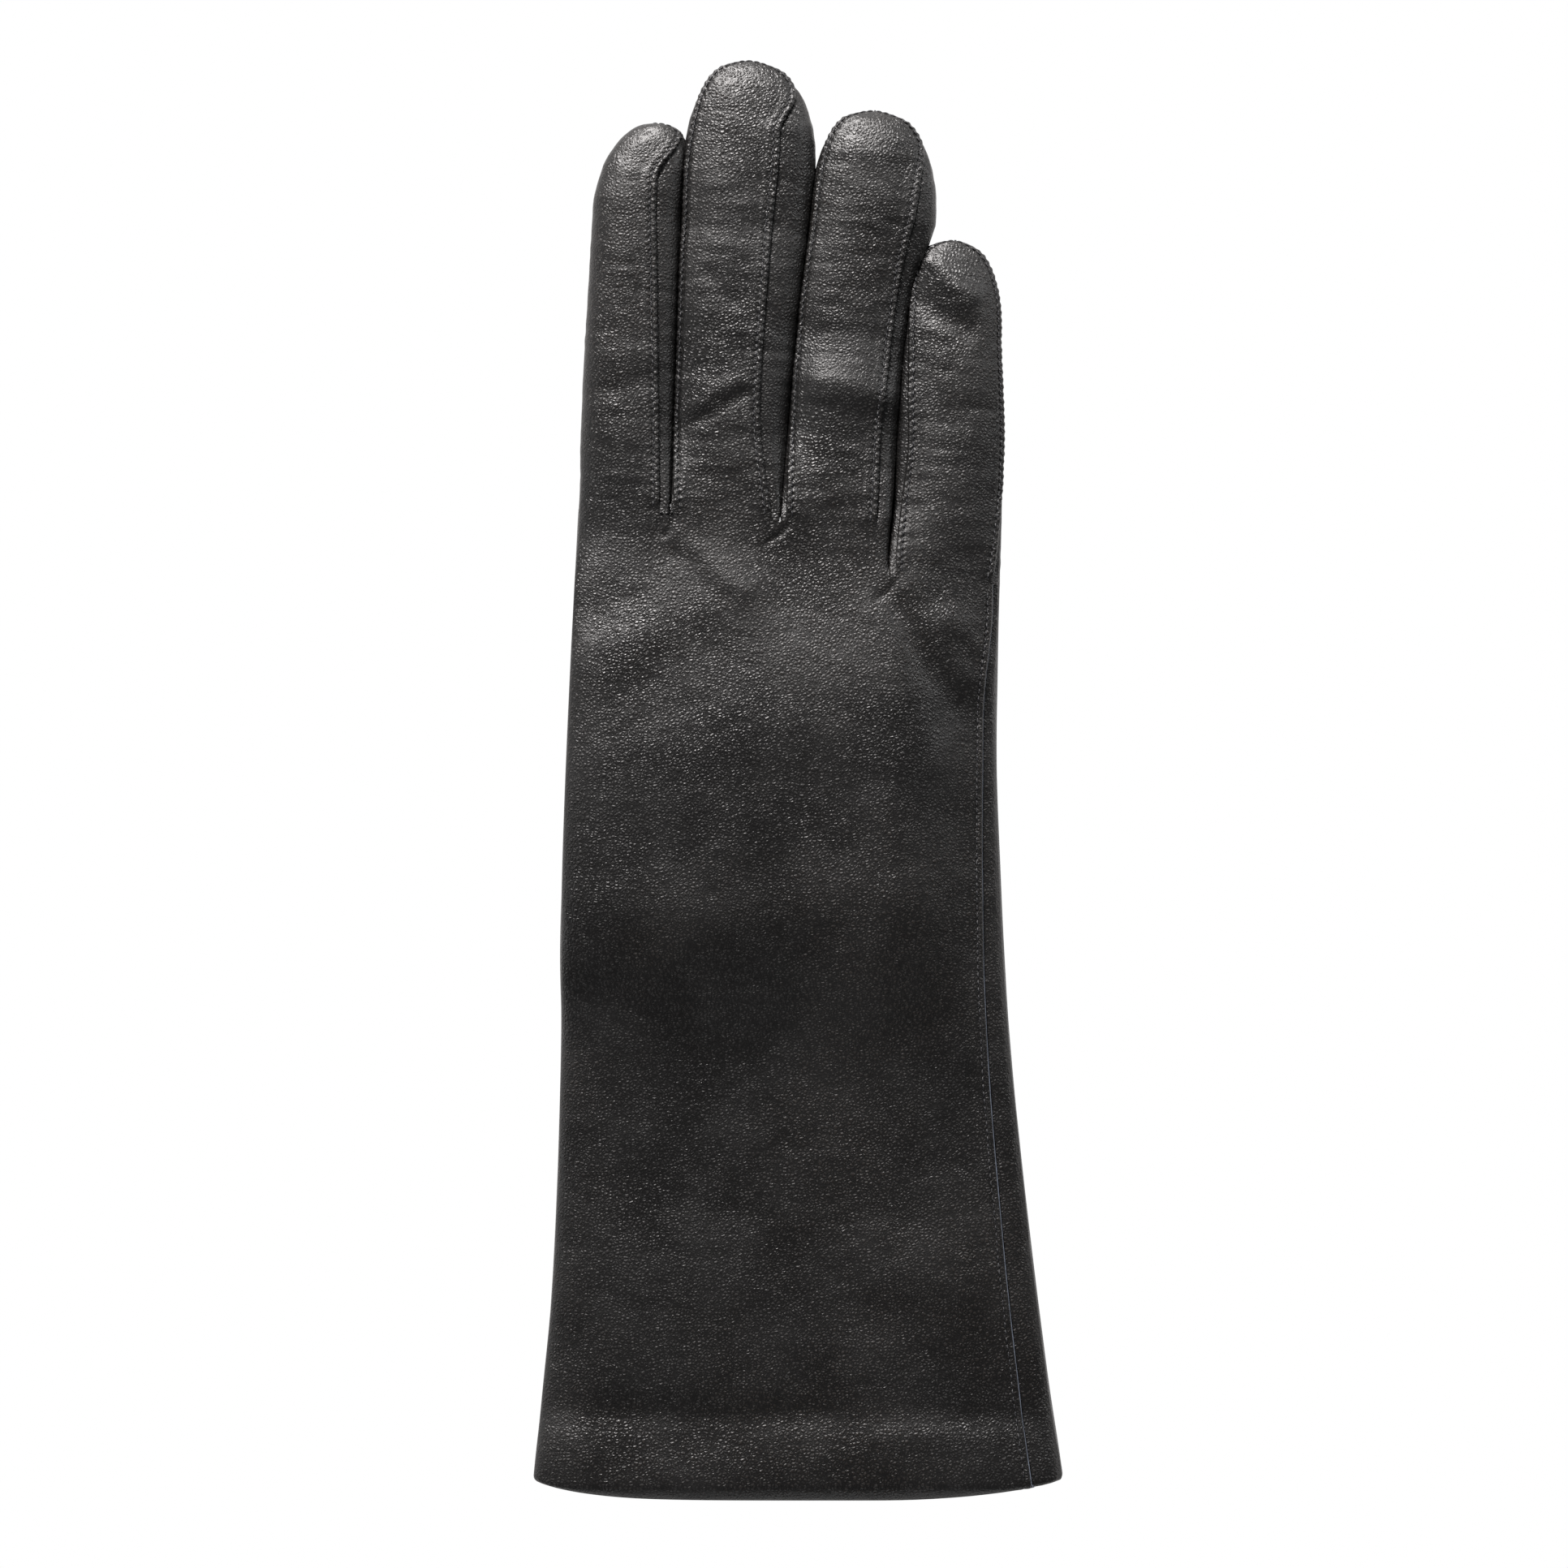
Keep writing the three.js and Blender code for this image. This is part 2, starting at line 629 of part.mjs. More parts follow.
const hemSeam = (x) => hemY(x) + HEM_FACING + HEM_SEAM / 2;
const hemThreadPoints = liningColumns.map((column) => {
  const y = meet(column, hemSeam, HEM_LOW);
  return tubePoint(column(y), y, LINING_INSET + LEATHER / 2);
});
addPiece("hem_thread", thread(hemThreadPoints, 48, true), "thread");

const thumbThreadPoints = Array.from({ length: 16 }, (_, i) => {
  const a = (i / 16) * Math.PI * 2;
  const r = THUMB_HOLE_R - 0.3 - THREAD_R;
  const [x, y] = THUMB.pivot;
  return new THREE.Vector3(x + r * Math.cos(a), y + r * Math.sin(a), LIFT + LEATHER / 2);
});
addPiece("thumb_seam_thread", thread(thumbThreadPoints, 28, true), "thread");

export default glove;
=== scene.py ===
# A long lined dress glove of black nappa leather for the right hand, lying palm down on a pale studio floor.
# The CAD frame gives the bodies and nodes. The skins here follow nearly the same outlines as the CAD's. Their
# measures are in millimetres, and are turned into metres when a mesh is made.
import math

import bpy
import numpy as np
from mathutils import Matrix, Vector


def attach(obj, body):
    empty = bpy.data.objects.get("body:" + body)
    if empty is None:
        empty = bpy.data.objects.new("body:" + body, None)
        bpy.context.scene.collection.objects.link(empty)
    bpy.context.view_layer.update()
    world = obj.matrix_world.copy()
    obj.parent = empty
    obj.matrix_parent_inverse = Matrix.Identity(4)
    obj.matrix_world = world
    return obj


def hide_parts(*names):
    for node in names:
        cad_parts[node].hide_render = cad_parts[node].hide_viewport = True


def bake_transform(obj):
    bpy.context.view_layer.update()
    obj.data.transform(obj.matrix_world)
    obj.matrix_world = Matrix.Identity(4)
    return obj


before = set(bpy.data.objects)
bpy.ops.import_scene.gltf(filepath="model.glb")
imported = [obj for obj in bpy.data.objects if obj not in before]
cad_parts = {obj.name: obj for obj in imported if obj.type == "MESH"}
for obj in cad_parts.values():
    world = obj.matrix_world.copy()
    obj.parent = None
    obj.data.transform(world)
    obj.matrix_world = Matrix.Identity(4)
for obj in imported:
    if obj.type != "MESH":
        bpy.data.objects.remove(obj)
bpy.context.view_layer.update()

MM = 0.001
TURN = 2 * math.pi

# ---- Leather and thread ----
LEATHER = 0.8
FINGER_LEATHER = LEATHER * 0.8
THUMB_LEATHER = LEATHER * 0.6
LINING = 0.6
LINING_INSET = 1.2
THUMB_LINING = 0.5
THUMB_LINING_INSET = 1.3
STITCH_PITCH = 1.5
STITCH_LENGTH = 1.15
STITCH_RADIUS = 0.17
STITCH_SIDES = 6
STITCH_RINGS = 5
STITCH_SHORTEST = 0.3
STITCH_ARCH = 0.14  # a stitch's middle rises this far, and the whole of it sinks by STITCH_SINK
STITCH_SINK = 0.06
STITCH_INSET = 1.35  # from a seam's cut edge to its stitches
LAP_RISE = 0.5  # a seam's upper edge stands this far proud of the skin
LAP_WIDTH = 3.0
CUT_DEPTH = 0.2  # rounding of the cut edge
CUT_WIDTH = 0.35
GROOVE_DEPTH = 0.42  # the groove that the stitches pull, and how much deeper it is at each stitch
GROOVE_WIDTH = 0.4
GROOVE_WAVE = 0.4
PUCKER_HEIGHT = 0.11
PUCKER_AT = 0.5
PUCKER_WIDTH = 0.9
UNDER_DEPTH = 0.42  # a seam's lower edge sinks this far, over UNDER_WIDTH
UNDER_WIDTH = (0.4, 1.6)
RAW_REACH = 0.75  # the outseam's cut edge slants out this far

# ---- Outline of hand and cuff, as (y, value) ----
LEFT_SIDE = [(-145, -53.8), (-125, -51.8), (-100, -49.5), (-60, -48), (-20, -47.4), (15, -46.1), (60, -44)]
RIGHT_SIDE = [
    (-145, 54), (-125, 51.2), (-92, 47), (-52, 42.7), (-20, 40.8), (10, 39.9), (35, 40.5), (60, 41.2)
]
TUBE_HEIGHT = [(-145, 10), (-120, 9.6), (-50, 9.4), (0, 9.8), (60, 10.8)]
OUTSEAM_INSET = [(-145, 7.1), (-100, 6.3), (-40, 4.7), (0, 3.3), (26, 2.6), (45, 1.2), (60, 1)]
HAND_TOP_POWER = 3.2
PALM_FLAT = 0.88
HEM_LOW = -144.5
HEM_LOW_X = 15
HEM_LEFT = (3.4, 68, 6)  # rise, span, power
HEM_RIGHT = (10, 60, 2.2)
HEM_FACING = 14
HEM_ROUND = 1.0
HEM_BAND = 16
HEM_BAND_RISE = 1.0

# The tucked thumb lifts the palm and, more softly, the back.
THUMB_HEIGHT = 5.2
LIFT = 5.7
PALM_LIFT_Y = (-50, -36, 38, 51)
BACK_LIFT_Y = (-62, -22, 2, 50)
LIFT_X = (18, 34)
BACK_LIFT = 4.6
BACK_SPREAD = 8

# ---- Fingers, in the folding frame ----
# u runs across the hand and v along the fingers. outline is (v, middle, half width). tip_shift moves the tip
# sideways, and tip_power says how square it is on its left and on its right. back_left and back_right are the
# seams on the back, as (v, share of the half width). slit_left and slit_right say where the gap beside the
# finger starts; None is an outer side.
FOLD_LEAN = math.radians(4)
FOLD_ORIGIN = (-3.8, 51.8)
LITTLE_ROOT = -9.6
FINGERS = {
    "index": dict(
        root=0, middle=33, tip=78.6, tip_shift=1.9, tip_power=(2.15, 3.6), height=(10.6, 9.2),
        outline=[(0, -31.2, 9), (20, -32, 9.4), (60, -33.1, 8.9)],
        back_left=None, back_right=[(0, 0.79), (11, 0.72), (38, 0.57), (65, 0.41), (74, 0.3)],
        slit_left=None, slit_right=0,
    ),
    "middle": dict(
        root=0, middle=33, tip=92.5, tip_shift=-1.5, tip_power=(2.15, 2.3), height=(10.8, 9.8),
        outline=[(0, -11, 11), (33, -11.3, 11.8), (70, -11.1, 13.2)],
        back_left=[(0, -0.93), (10, -0.97), (90, -0.97)],
        back_right=[(0, 0.88), (4, 0.78), (18, 0.53), (33, 0.46), (77, 0.46), (84, 0.62), (91, 0.98)],
        slit_left=0, slit_right=0,
    ),
    "ring": dict(
        root=0, middle=33, tip=84.2, tip_shift=-1, tip_power=(2.3, 2.3), height=(10.8, 9.6),
        outline=[(0, 11.2, 11.1), (33, 11.5, 10.9), (47, 12.2, 11.1), (62, 14.4, 12.6)],
        back_left=[(0, -0.9), (15, -0.94), (40, -0.97), (66, -0.95), (80, -0.95)],
        back_right=[
            (0, 0.74), (24, 0.7), (35, 0.76), (46, 0.76), (60, 0.66), (70, 0.75), (79, 0.92), (84, 0.99)
        ],
        slit_left=0, slit_right=LITTLE_ROOT,
    ),
    "little": dict(
        root=LITTLE_ROOT, middle=12.4, tip=59.3, tip_shift=-0.5, tip_power=(2.6, 2.15), height=(10.2, 8.8),
        outline=[(LITTLE_ROOT, 33.9, 11.3), (20, 33.1, 10.8), (40, 32.1, 9.7)],
        back_left=[(LITTLE_ROOT, -0.9), (2, -0.86), (13, -0.79), (20, -0.79), (38, -0.9), (50, -0.97)],
        back_right=[(LITTLE_ROOT, 0.85), (0, 0.93), (10, 0.97), (40, 0.985)],
        slit_left=LITTLE_ROOT, slit_right=None,
    ),
}
FINGER_TOP_POWER = 2.3
ROOT_TOP_POWER = 10  # the section is boxy where a finger leaves the hand
FINGER_CORNER = 0.55  # underside corner, as a share of the height
PALM_SEAM = 0.93  # the palm's seams, as a share of the half width
GROW = 20  # a finger reaches its own section this far above its root
SLIT_OPEN = 6  # a gap reaches its full depth over this length
ROOT_BLEND = 13  # length over which the leather bends at a finger's root
MIDDLE_BLEND = 8  # and on each side of its middle line
LITTLE_BLEND = 0.8  # the little finger's bends are this much shorter
TIP_MEET = 0.8  # share of the width over which a tip's two powers run into each other
SIDE_PULL = 4  # power with which an outer side is drawn onto the hand's side line
SEAM_CLOSE = (0.35, 0.97)  # share of the round tip over which the seams run together
SEAM_END = 0.995
SIDE_MARGIN = 0.04  # ring angle of the spare column beside an outer side
ROW_STEP = 0.42

# ---- Thumb ----
THUMB_PIVOT = (-22, -20)
THUMB_LEAN = math.radians(25)
THUMB_REACH = 58
THUMB_HALF = [(0, 14), (21.5, 13), (43, 11.6)]
THUMB_TIP_FROM = 43
THUMB_MOUTH = 14.5  # the stall starts this far from the pivot, inside the pocket
POCKET_RADIUS = 16
POCKET_ROUND = 3.2
THUMB_HOLE = 14.2


# ---- Numbers and curves ----
def lerp(a, b, t):
    return a + (b - a) * t


def smooth(value, low, high):
    t = np.clip((value - low) / (high - low), 0, 1)
    return t * t * (3 - 2 * t)


def curve(points, key):
    """Smooth curve through (key, value) points, with the slopes of a Catmull-Rom spline."""
    keys, values = np.array(points, float).T
    last = len(keys) - 1
    k = np.clip(np.asarray(key, float), keys[0], keys[-1])
    i = np.clip(np.searchsorted(keys, k, side="right") - 1, 0, last - 1)
    before = np.maximum(np.arange(last + 1) - 1, 0)
    after = np.minimum(np.arange(last + 1) + 1, last)
    slope = (values[after] - values[before]) / (keys[after] - keys[before])
    span = keys[i + 1] - keys[i]
    t = (k - keys[i]) / span
    return (
        (2 * t**3 - 3 * t**2 + 1) * values[i]
        + (t**3 - 2 * t**2 + t) * slope[i] * span
        + (3 * t**2 - 2 * t**3) * values[i + 1]
        + (t**3 - t**2) * slope[i + 1] * span
    )


def noise(x, y, seed):
    """Smooth noise from -1 to 1 with one cell per unit."""
    xi, yi = np.floor(x), np.floor(y)
    tx, ty = smooth(x - xi, 0, 1), smooth(y - yi, 0, 1)

    def corner(i, j):
        return 2 * np.mod(np.abs(np.sin(i * 12.9898 + j * 78.233 + seed * 37.719) * 43758.5453), 1) - 1

    low = lerp(corner(xi, yi), corner(xi + 1, yi), tx)
    high = lerp(corner(xi, yi + 1), corner(xi + 1, yi + 1), tx)
    return lerp(low, high, ty)


def waves(x, y, size, seed):
    """Noise of a size, which is (height, length of one cell)."""
    height, cell = size
    return height * noise(x / cell, y / cell, seed)


def bulge(share, power):
    """Height, from 1 to 0, of a round section or tip at a share of the way out from its middle."""
    return np.maximum(1 - share**power, 0) ** (1 / power)


def underside(share, flat):
    """The same for an underside, from -1 to 0, which is flat up to a share called flat."""
    return -np.sqrt(1 - np.clip((share - flat) / (1 - flat), 0, 1) ** 2)


def unfold(u, v):
    """x and y, in the frame, of a place in the folding frame."""
    x = FOLD_ORIGIN[0] + u * math.cos(FOLD_LEAN) + v * math.sin(FOLD_LEAN)
    y = FOLD_ORIGIN[1] - u * math.sin(FOLD_LEAN) + v * math.cos(FOLD_LEAN)
    return x, y


# ---- Relief: folds and soft creases of the worn-in leather ----
# Each fold is (x, y) to (x, y), its width and its height; a negative height is a crease.
FOLDS = [
    ((-41, 24), (-14, 38), 7.0, 0.8),
    ((-27, 47), (-15, 36), 3.0, -0.2),
    ((-24, 48.5), (-11, 37.5), 2.2, 0.25),
    ((18, 36), (31, 15), 2.6, -0.35),
    ((22, 38), (34, 20), 3.0, 0.4),
    ((16, 33), (27, 4), 3.6, 0.5),
    ((33, 30), (35, 23), 7.0, 0.7),
    ((30, 33), (38, 24), 2.4, 0.3),
    ((-44, 78), (-27, 80), 2.2, -0.22),
    ((-43, 86), (-30, 85), 2.6, 0.16),
    ((-23, 74), (-12, 80), 2.2, 0.3),
    ((-23, 70.5), (-11, 77), 1.6, -0.22),
    ((-18, 101), (-13, 96), 1.5, -0.18),
    ((-22, 112), (-7, 110), 2.4, -0.18),
    ((2, 90), (17, 89), 2.6, -0.26),
    ((4, 80), (18, 77), 4.2, 0.9),
    ((7, 127), (22, 127), 2.6, 0.22),
    ((24, 96), (34, 90), 2.4, -0.6),
    ((27, 104), (34, 97), 2.8, 0.75),
    ((30, 74), (41, 74), 2.6, -0.2),
    ((-52, -126.5), (46, -128), 2.4, -0.3),
    ((-51, -133), (-38, -132), 5.0, 0.35),
    ((16, -131.5), (43, -131), 4.0, 0.4),
    ((45, -92), (50, -98), 1.6, -0.35),
    ((50, -128), (52, -136), 2.2, 0.3),
    ((-20, -30), (12, -42), 9.0, 0.3),
    ((22, -24), (34, -56), 7.0, 0.3),
]
# Paths of (x, y) points, each pressed in as a thin line.
CROTCH_MARKS = [
    [(-6.2, 47.6), (-3.8, 49.0), (-2.0, 50.9)],
    [(15.8, 36.4), (18.0, 37.7), (19.6, 39.9)],
    [(-28.0, 51.5), (-28.0, 49.6), (-27.0, 48.9), (-26.0, 49.6), (-25.7, 51.5)],
]


MARK_DEPTH = 0.26
MARK_WIDTH = 0.6
BROAD_WAVE = (0.40, 26)  # height and length of one cell
SMALL_WAVE = (0.16, 11)
PALM_WAVE = (0.25, 17)
THUMB_WAVE = (0.12, 7)
POCKET_WAVE = (0.1, 6)
HEM_WAVE = (0.12, 6)
RIPPLE = 0.035
FINGER_RIPPLE = 0.07
SIDE_QUIET = 0.6  # the relief is this much weaker where the skin turns down at the sides


def distance_to(x, y, a, b):
    """Distance from places to a segment."""
    dx, dy = b[0] - a[0], b[1] - a[1]
    t = np.clip(((x - a[0]) * dx + (y - a[1]) * dy) / (dx * dx + dy * dy), 0, 1)
    return np.hypot(x - a[0] - t * dx, y - a[1] - t * dy)


def relief(x, y):
    """How far the skin of the back stands above its plain shape."""
    rise = waves(x, y, BROAD_WAVE, 1) + waves(x, y, SMALL_WAVE, 2)
    rise = rise + RIPPLE * noise(x / 5 + 0.3 * y, y / 3.4, 3)
    for a, b, width, height in FOLDS:
        rise = rise + height * np.exp(-((distance_to(x, y, a, b) / width) ** 2))
    band = smooth(y, HEM_LOW, HEM_LOW + 3) * (1 - smooth(y, HEM_LOW + 4, HEM_LOW + HEM_BAND + 1))
    return rise + HEM_BAND_RISE * band


def back_relief(x, y, normals):
    """The relief, fading where the skin turns down at the sides and gone under the palm."""
    near_back = np.clip(normals[..., 2], 0, 1)
    return relief(x, y) * (1 - SIDE_QUIET * (1 - near_back)) * near_back


def crotch_marks(x, y):
    """Small pressed lines where the fourchettes end between the fingers."""
    depth = np.zeros_like(x)
    for path in CROTCH_MARKS:
        for a, b in zip(path, path[1:]):
            depth = np.maximum(depth, MARK_DEPTH * np.exp(-((distance_to(x, y, a, b) / MARK_WIDTH) ** 2)))
    return -depth


# ---- Surfaces ----
def middle_x(y):
    return (curve(LEFT_SIDE, y) + curve(RIGHT_SIDE, y)) / 2


def half_width(y):
    return (curve(RIGHT_SIDE, y) - curve(LEFT_SIDE, y)) / 2


def hem_y(x):
    rise, span, power = np.where(x < HEM_LOW_X, np.array([HEM_LEFT]).T, np.array([HEM_RIGHT]).T)
    return HEM_LOW + rise * (np.abs(x - HEM_LOW_X) / span) ** power


def lift(x, y, limits, height, spread):
    area = smooth(y, limits[0], limits[1]) * (1 - smooth(y, limits[2], limits[3]))
    return height * area * (1 - smooth(x, LIFT_X[0], LIFT_X[1] + spread))


def tube_z(x, y, top):
    """Height of the hand's or cuff's skin over a place, on the back or on the palm."""
    share = np.clip(np.abs(x - middle_x(y)) / half_width(y), 0, 1)
    middle = curve(TUBE_HEIGHT, y) / 2
    level = np.where(top, bulge(share, HAND_TOP_POWER), underside(share, PALM_FLAT))
    rise = (1 + level) / 2
    low = lift(x, y, PALM_LIFT_Y, LIFT, 0)
    high = lift(x, y, BACK_LIFT_Y, BACK_LIFT, BACK_SPREAD)
    return middle * (1 + level) + lerp(low, high, rise)


def finger_point(name, v, ring):
    """A place on a finger's skin. ring turns from the right side (0) over the back to the left side (half a
    turn) and on under the palm. Below the finger's root it is a place on the hand."""
    f = FINGERS[name]
    v, ring = np.broadcast_arrays(np.asarray(v, float), np.asarray(ring, float))
    s = np.cos(ring)
    top = np.mod(ring + 1e-9, TURN) < math.pi
    outline = np.array(f["outline"])
    centre = curve(outline[:, [0, 1]], v)
    half = curve(outline[:, [0, 2]], v)
    tip_from = outline[-1][0]
    along = np.clip((v - tip_from) / (f["tip"] - tip_from), 0, 1)
    left, right = (bulge(along, power) for power in f["tip_power"])
    shrink = lerp(left, right, smooth(s, -TIP_MEET, TIP_MEET))
    u = centre + half * s * shrink + f["tip_shift"] * along**2
    x, y = unfold(u, v)
    grown = smooth(v, f["root"], f["root"] + GROW)

    # On an outer side the finger starts on the hand's own side line.
    for sign, slit, side in ((-1, f["slit_left"], LEFT_SIDE), (1, f["slit_right"], RIGHT_SIDE)):
        if slit is None:
            side_x, side_y = unfold(centre + sign * half, v)
            shift = (curve(side, side_y) - side_x) * (1 - grown)
            x = x + np.where(s * sign > 0, shift * np.abs(s) ** SIDE_PULL, 0)

    size = np.abs(s)
    root_top = bulge(size, ROOT_TOP_POWER)
    opened = np.zeros_like(v)
    for sign, slit in ((-1, f["slit_left"]), (1, f["slit_right"])):
        if slit is not None:
            opened = np.where(s * sign > 0, smooth(v, slit, slit + SLIT_OPEN), opened)
    high, low = tube_z(x, y, True), tube_z(x, y, False)
    centre_z = (high + low) / 2
    wall = np.where(top, high, low) - centre_z
    at_root = centre_z + wall * (1 - opened * (1 - root_top))

    height = lerp(*f["height"], np.clip((v - f["root"]) / (f["tip"] - f["root"]), 0, 1))
    palm = underside(size, 1 - FINGER_CORNER * height / half)
    own = height / 2 * (1 + shrink * np.where(top, bulge(size, FINGER_TOP_POWER), palm))
    return np.stack([x, y, lerp(at_root, own, grown)], -1)


def seams(name, v):
    """Ring angles of a finger's seams: the back's right and left edge, and the palm's left and right edge."""
    f = FINGERS[name]
    v = np.asarray(v, float)
    tip_from = f["outline"][-1][0]
    close = smooth((v - tip_from) / (f["tip"] - tip_from), *SEAM_CLOSE)
    right = np.arccos(lerp(curve(f["back_right"], v), SEAM_END, close))
    palm_right = TURN - np.arccos(lerp(PALM_SEAM, SEAM_END, close))
    if f["slit_right"] is None:
        palm_right = TURN + right
    if f["back_left"]:
        left = np.arccos(lerp(curve(f["back_left"], v), -SEAM_END, close))
        palm_left = TURN - np.arccos(lerp(-PALM_SEAM, -SEAM_END, close))
    else:
        left = np.full_like(v, math.pi)
        palm_left = left
    return right, left, palm_left, palm_right


# ---- Meshes ----
def crowd(count, ends=0.75):
    """Shares from 0 to 1 that lie closer together towards both ends."""
    t = np.linspace(0, 1, count + 1)
    return t - ends * np.sin(TURN * t) / TURN


def grid_normals(points):
    """Unit normals of a grid of points (rows, columns, 3)."""
    along = np.gradient(points, axis=0)
    across = np.gradient(points, axis=1)
    n = np.cross(along, across)
    size = np.linalg.norm(n, axis=-1, keepdims=True)
    return n / np.maximum(size, 1e-12)


def ring_normals(points):
    """Unit normals of a grid whose last column meets its first."""
    return grid_normals(np.concatenate([points[:, -1:], points, points[:, :1]], 1))[:, 1:-1]


def lengths(points, axis):
    """Distance walked along an axis of a grid."""
    steps = np.linalg.norm(np.diff(points, axis=axis), axis=-1)
    pad = [(0, 0), (0, 0)]
    pad[axis] = (1, 0)
    return np.cumsum(np.pad(steps, pad), axis=axis)


def place_object(name, data):
    made = bpy.data.objects.new(name, data)
    bpy.context.scene.collection.objects.link(made)
    return made


def add_mesh(name, points, faces, normals, material, extra=None, extra_faces=()):
    mesh = bpy.data.meshes.new(name)
    mesh.from_pydata((points * MM).tolist(), [], faces)
    mesh.materials.append(material)
    if extra:
        mesh.materials.append(extra)
        for k in extra_faces:
            mesh.polygons[k].material_index = 1
    mesh.shade_smooth()
    if normals is not None:
        mesh.normals_split_custom_set_from_vertices(normals.tolist())
    mesh.update()
    return place_object(name, mesh)


def sheet_mesh(
    name, outer, normals, thickness, material,
    wrap=False, pole=False, missing=None, raw=None, inner_shift=None,
):
    """A closed thin skin on a grid of points (rows, columns, 3). wrap joins the last column to the first.
    pole gathers the last row in one point. missing is True at points where the skin is left out. raw is a
    material for the rim along the first column, and inner_shift moves the skin's inner side."""
    inner = outer - normals * np.asarray(thickness)[..., None]
    if inner_shift is not None:
        inner = inner + inner_shift
    rows, columns = outer.shape[:2]
    numbers = np.arange(rows * columns).reshape(rows, columns)
    if pole:
        numbers[-1, :] = numbers[-1, 0]
    count = rows * columns
    across = columns if wrap else columns - 1
    keep = np.ones((rows - 1, across), bool)
    if missing is not None:
        for j in range(rows - 1):
            for i in range(across):
                k = (i + 1) % columns
                keep[j, i] = not (missing[j, i] and missing[j, k] and missing[j + 1, i] and missing[j + 1, k])
    faces = []

    def add(*corners):
        plain = []
        for c in corners:
            if c not in plain:
                plain.append(int(c))
        if len(plain) > 2:
            faces.append(plain)

    edges = set()
    for j in range(rows - 1):
        for i in range(across):
            if not keep[j, i]:
                continue
            k = (i + 1) % columns
            a, b, c, d = numbers[j, i], numbers[j, k], numbers[j + 1, k], numbers[j + 1, i]
            add(d, c, b, a)
            add(a + count, b + count, c + count, d + count)
            for p, q in ((b, a), (c, b), (d, c), (a, d)):
                if p != q:
                    edges.add((int(p), int(q)))
    first = set(numbers[:, 0].tolist())
    raw_faces = []
    for p, q in sorted(pair for pair in edges if pair[::-1] not in edges):
        if raw and p in first and q in first:
            raw_faces.append(len(faces))
        add(q, p, p + count, q + count)
    points = np.concatenate([outer.reshape(-1, 3), inner.reshape(-1, 3)])
    both = np.concatenate([normals.reshape(-1, 3), -normals.reshape(-1, 3)])
    used = np.unique(np.concatenate([np.array(face) for face in faces]))
    place = np.full(len(points), -1)
    place[used] = np.arange(len(used))
    faces = [[int(place[c]) for c in face] for face in faces]
    return add_mesh(name, points[used], faces, both[used], material, raw, raw_faces)


def stitch_mesh(name, path, up, material, start=0.0):
    """Short threads along a path of points, each sunk into the leather at its ends."""
    path = np.asarray(path, float)
    walked = np.concatenate([[0], np.cumsum(np.linalg.norm(np.diff(path, axis=0), axis=-1))])
    keep = np.concatenate([[True], np.diff(walked) > 1e-6])
    path, up, walked = path[keep], np.asarray(up)[keep], walked[keep]
    points, faces = [], []
    for at in np.arange(start + STITCH_PITCH / 2, walked[-1], STITCH_PITCH):
        ends = [np.clip(at + side * STITCH_LENGTH / 2, 0, walked[-1]) for side in (-1, 1)]
        a, b = (np.array([np.interp(e, walked, path[:, k]) for k in range(3)]) for e in ends)
        n = np.array([np.interp(at, walked, up[:, k]) for k in range(3)])
        n = n / max(np.linalg.norm(n), 1e-9)
        line = b - a
        if np.linalg.norm(line) < STITCH_SHORTEST:
            continue
        side = np.cross(line / np.linalg.norm(line), n)
        base = len(points)
        for j in range(STITCH_RINGS):
            t = j / (STITCH_RINGS - 1)
            swell = math.sin(math.pi * lerp(0.12, 0.88, t)) ** 0.6
            middle = lerp(a, b, t) + n * (STITCH_ARCH * swell - STITCH_SINK)
            for i in range(STITCH_SIDES):
                w = TURN * i / STITCH_SIDES
                points.append(middle + STITCH_RADIUS * swell * (math.cos(w) * side + math.sin(w) * n))
        for j in range(STITCH_RINGS - 1):
            for i in range(STITCH_SIDES):
                k = (i + 1) % STITCH_SIDES
                low, high = base + j * STITCH_SIDES, base + (j + 1) * STITCH_SIDES
                faces.append([low + i, low + k, high + k, high + i])
        faces.append([base + i for i in reversed(range(STITCH_SIDES))])
        faces.append([base + (STITCH_RINGS - 1) * STITCH_SIDES + i for i in range(STITCH_SIDES)])
    return add_mesh(name, np.array(points), faces, None, material)


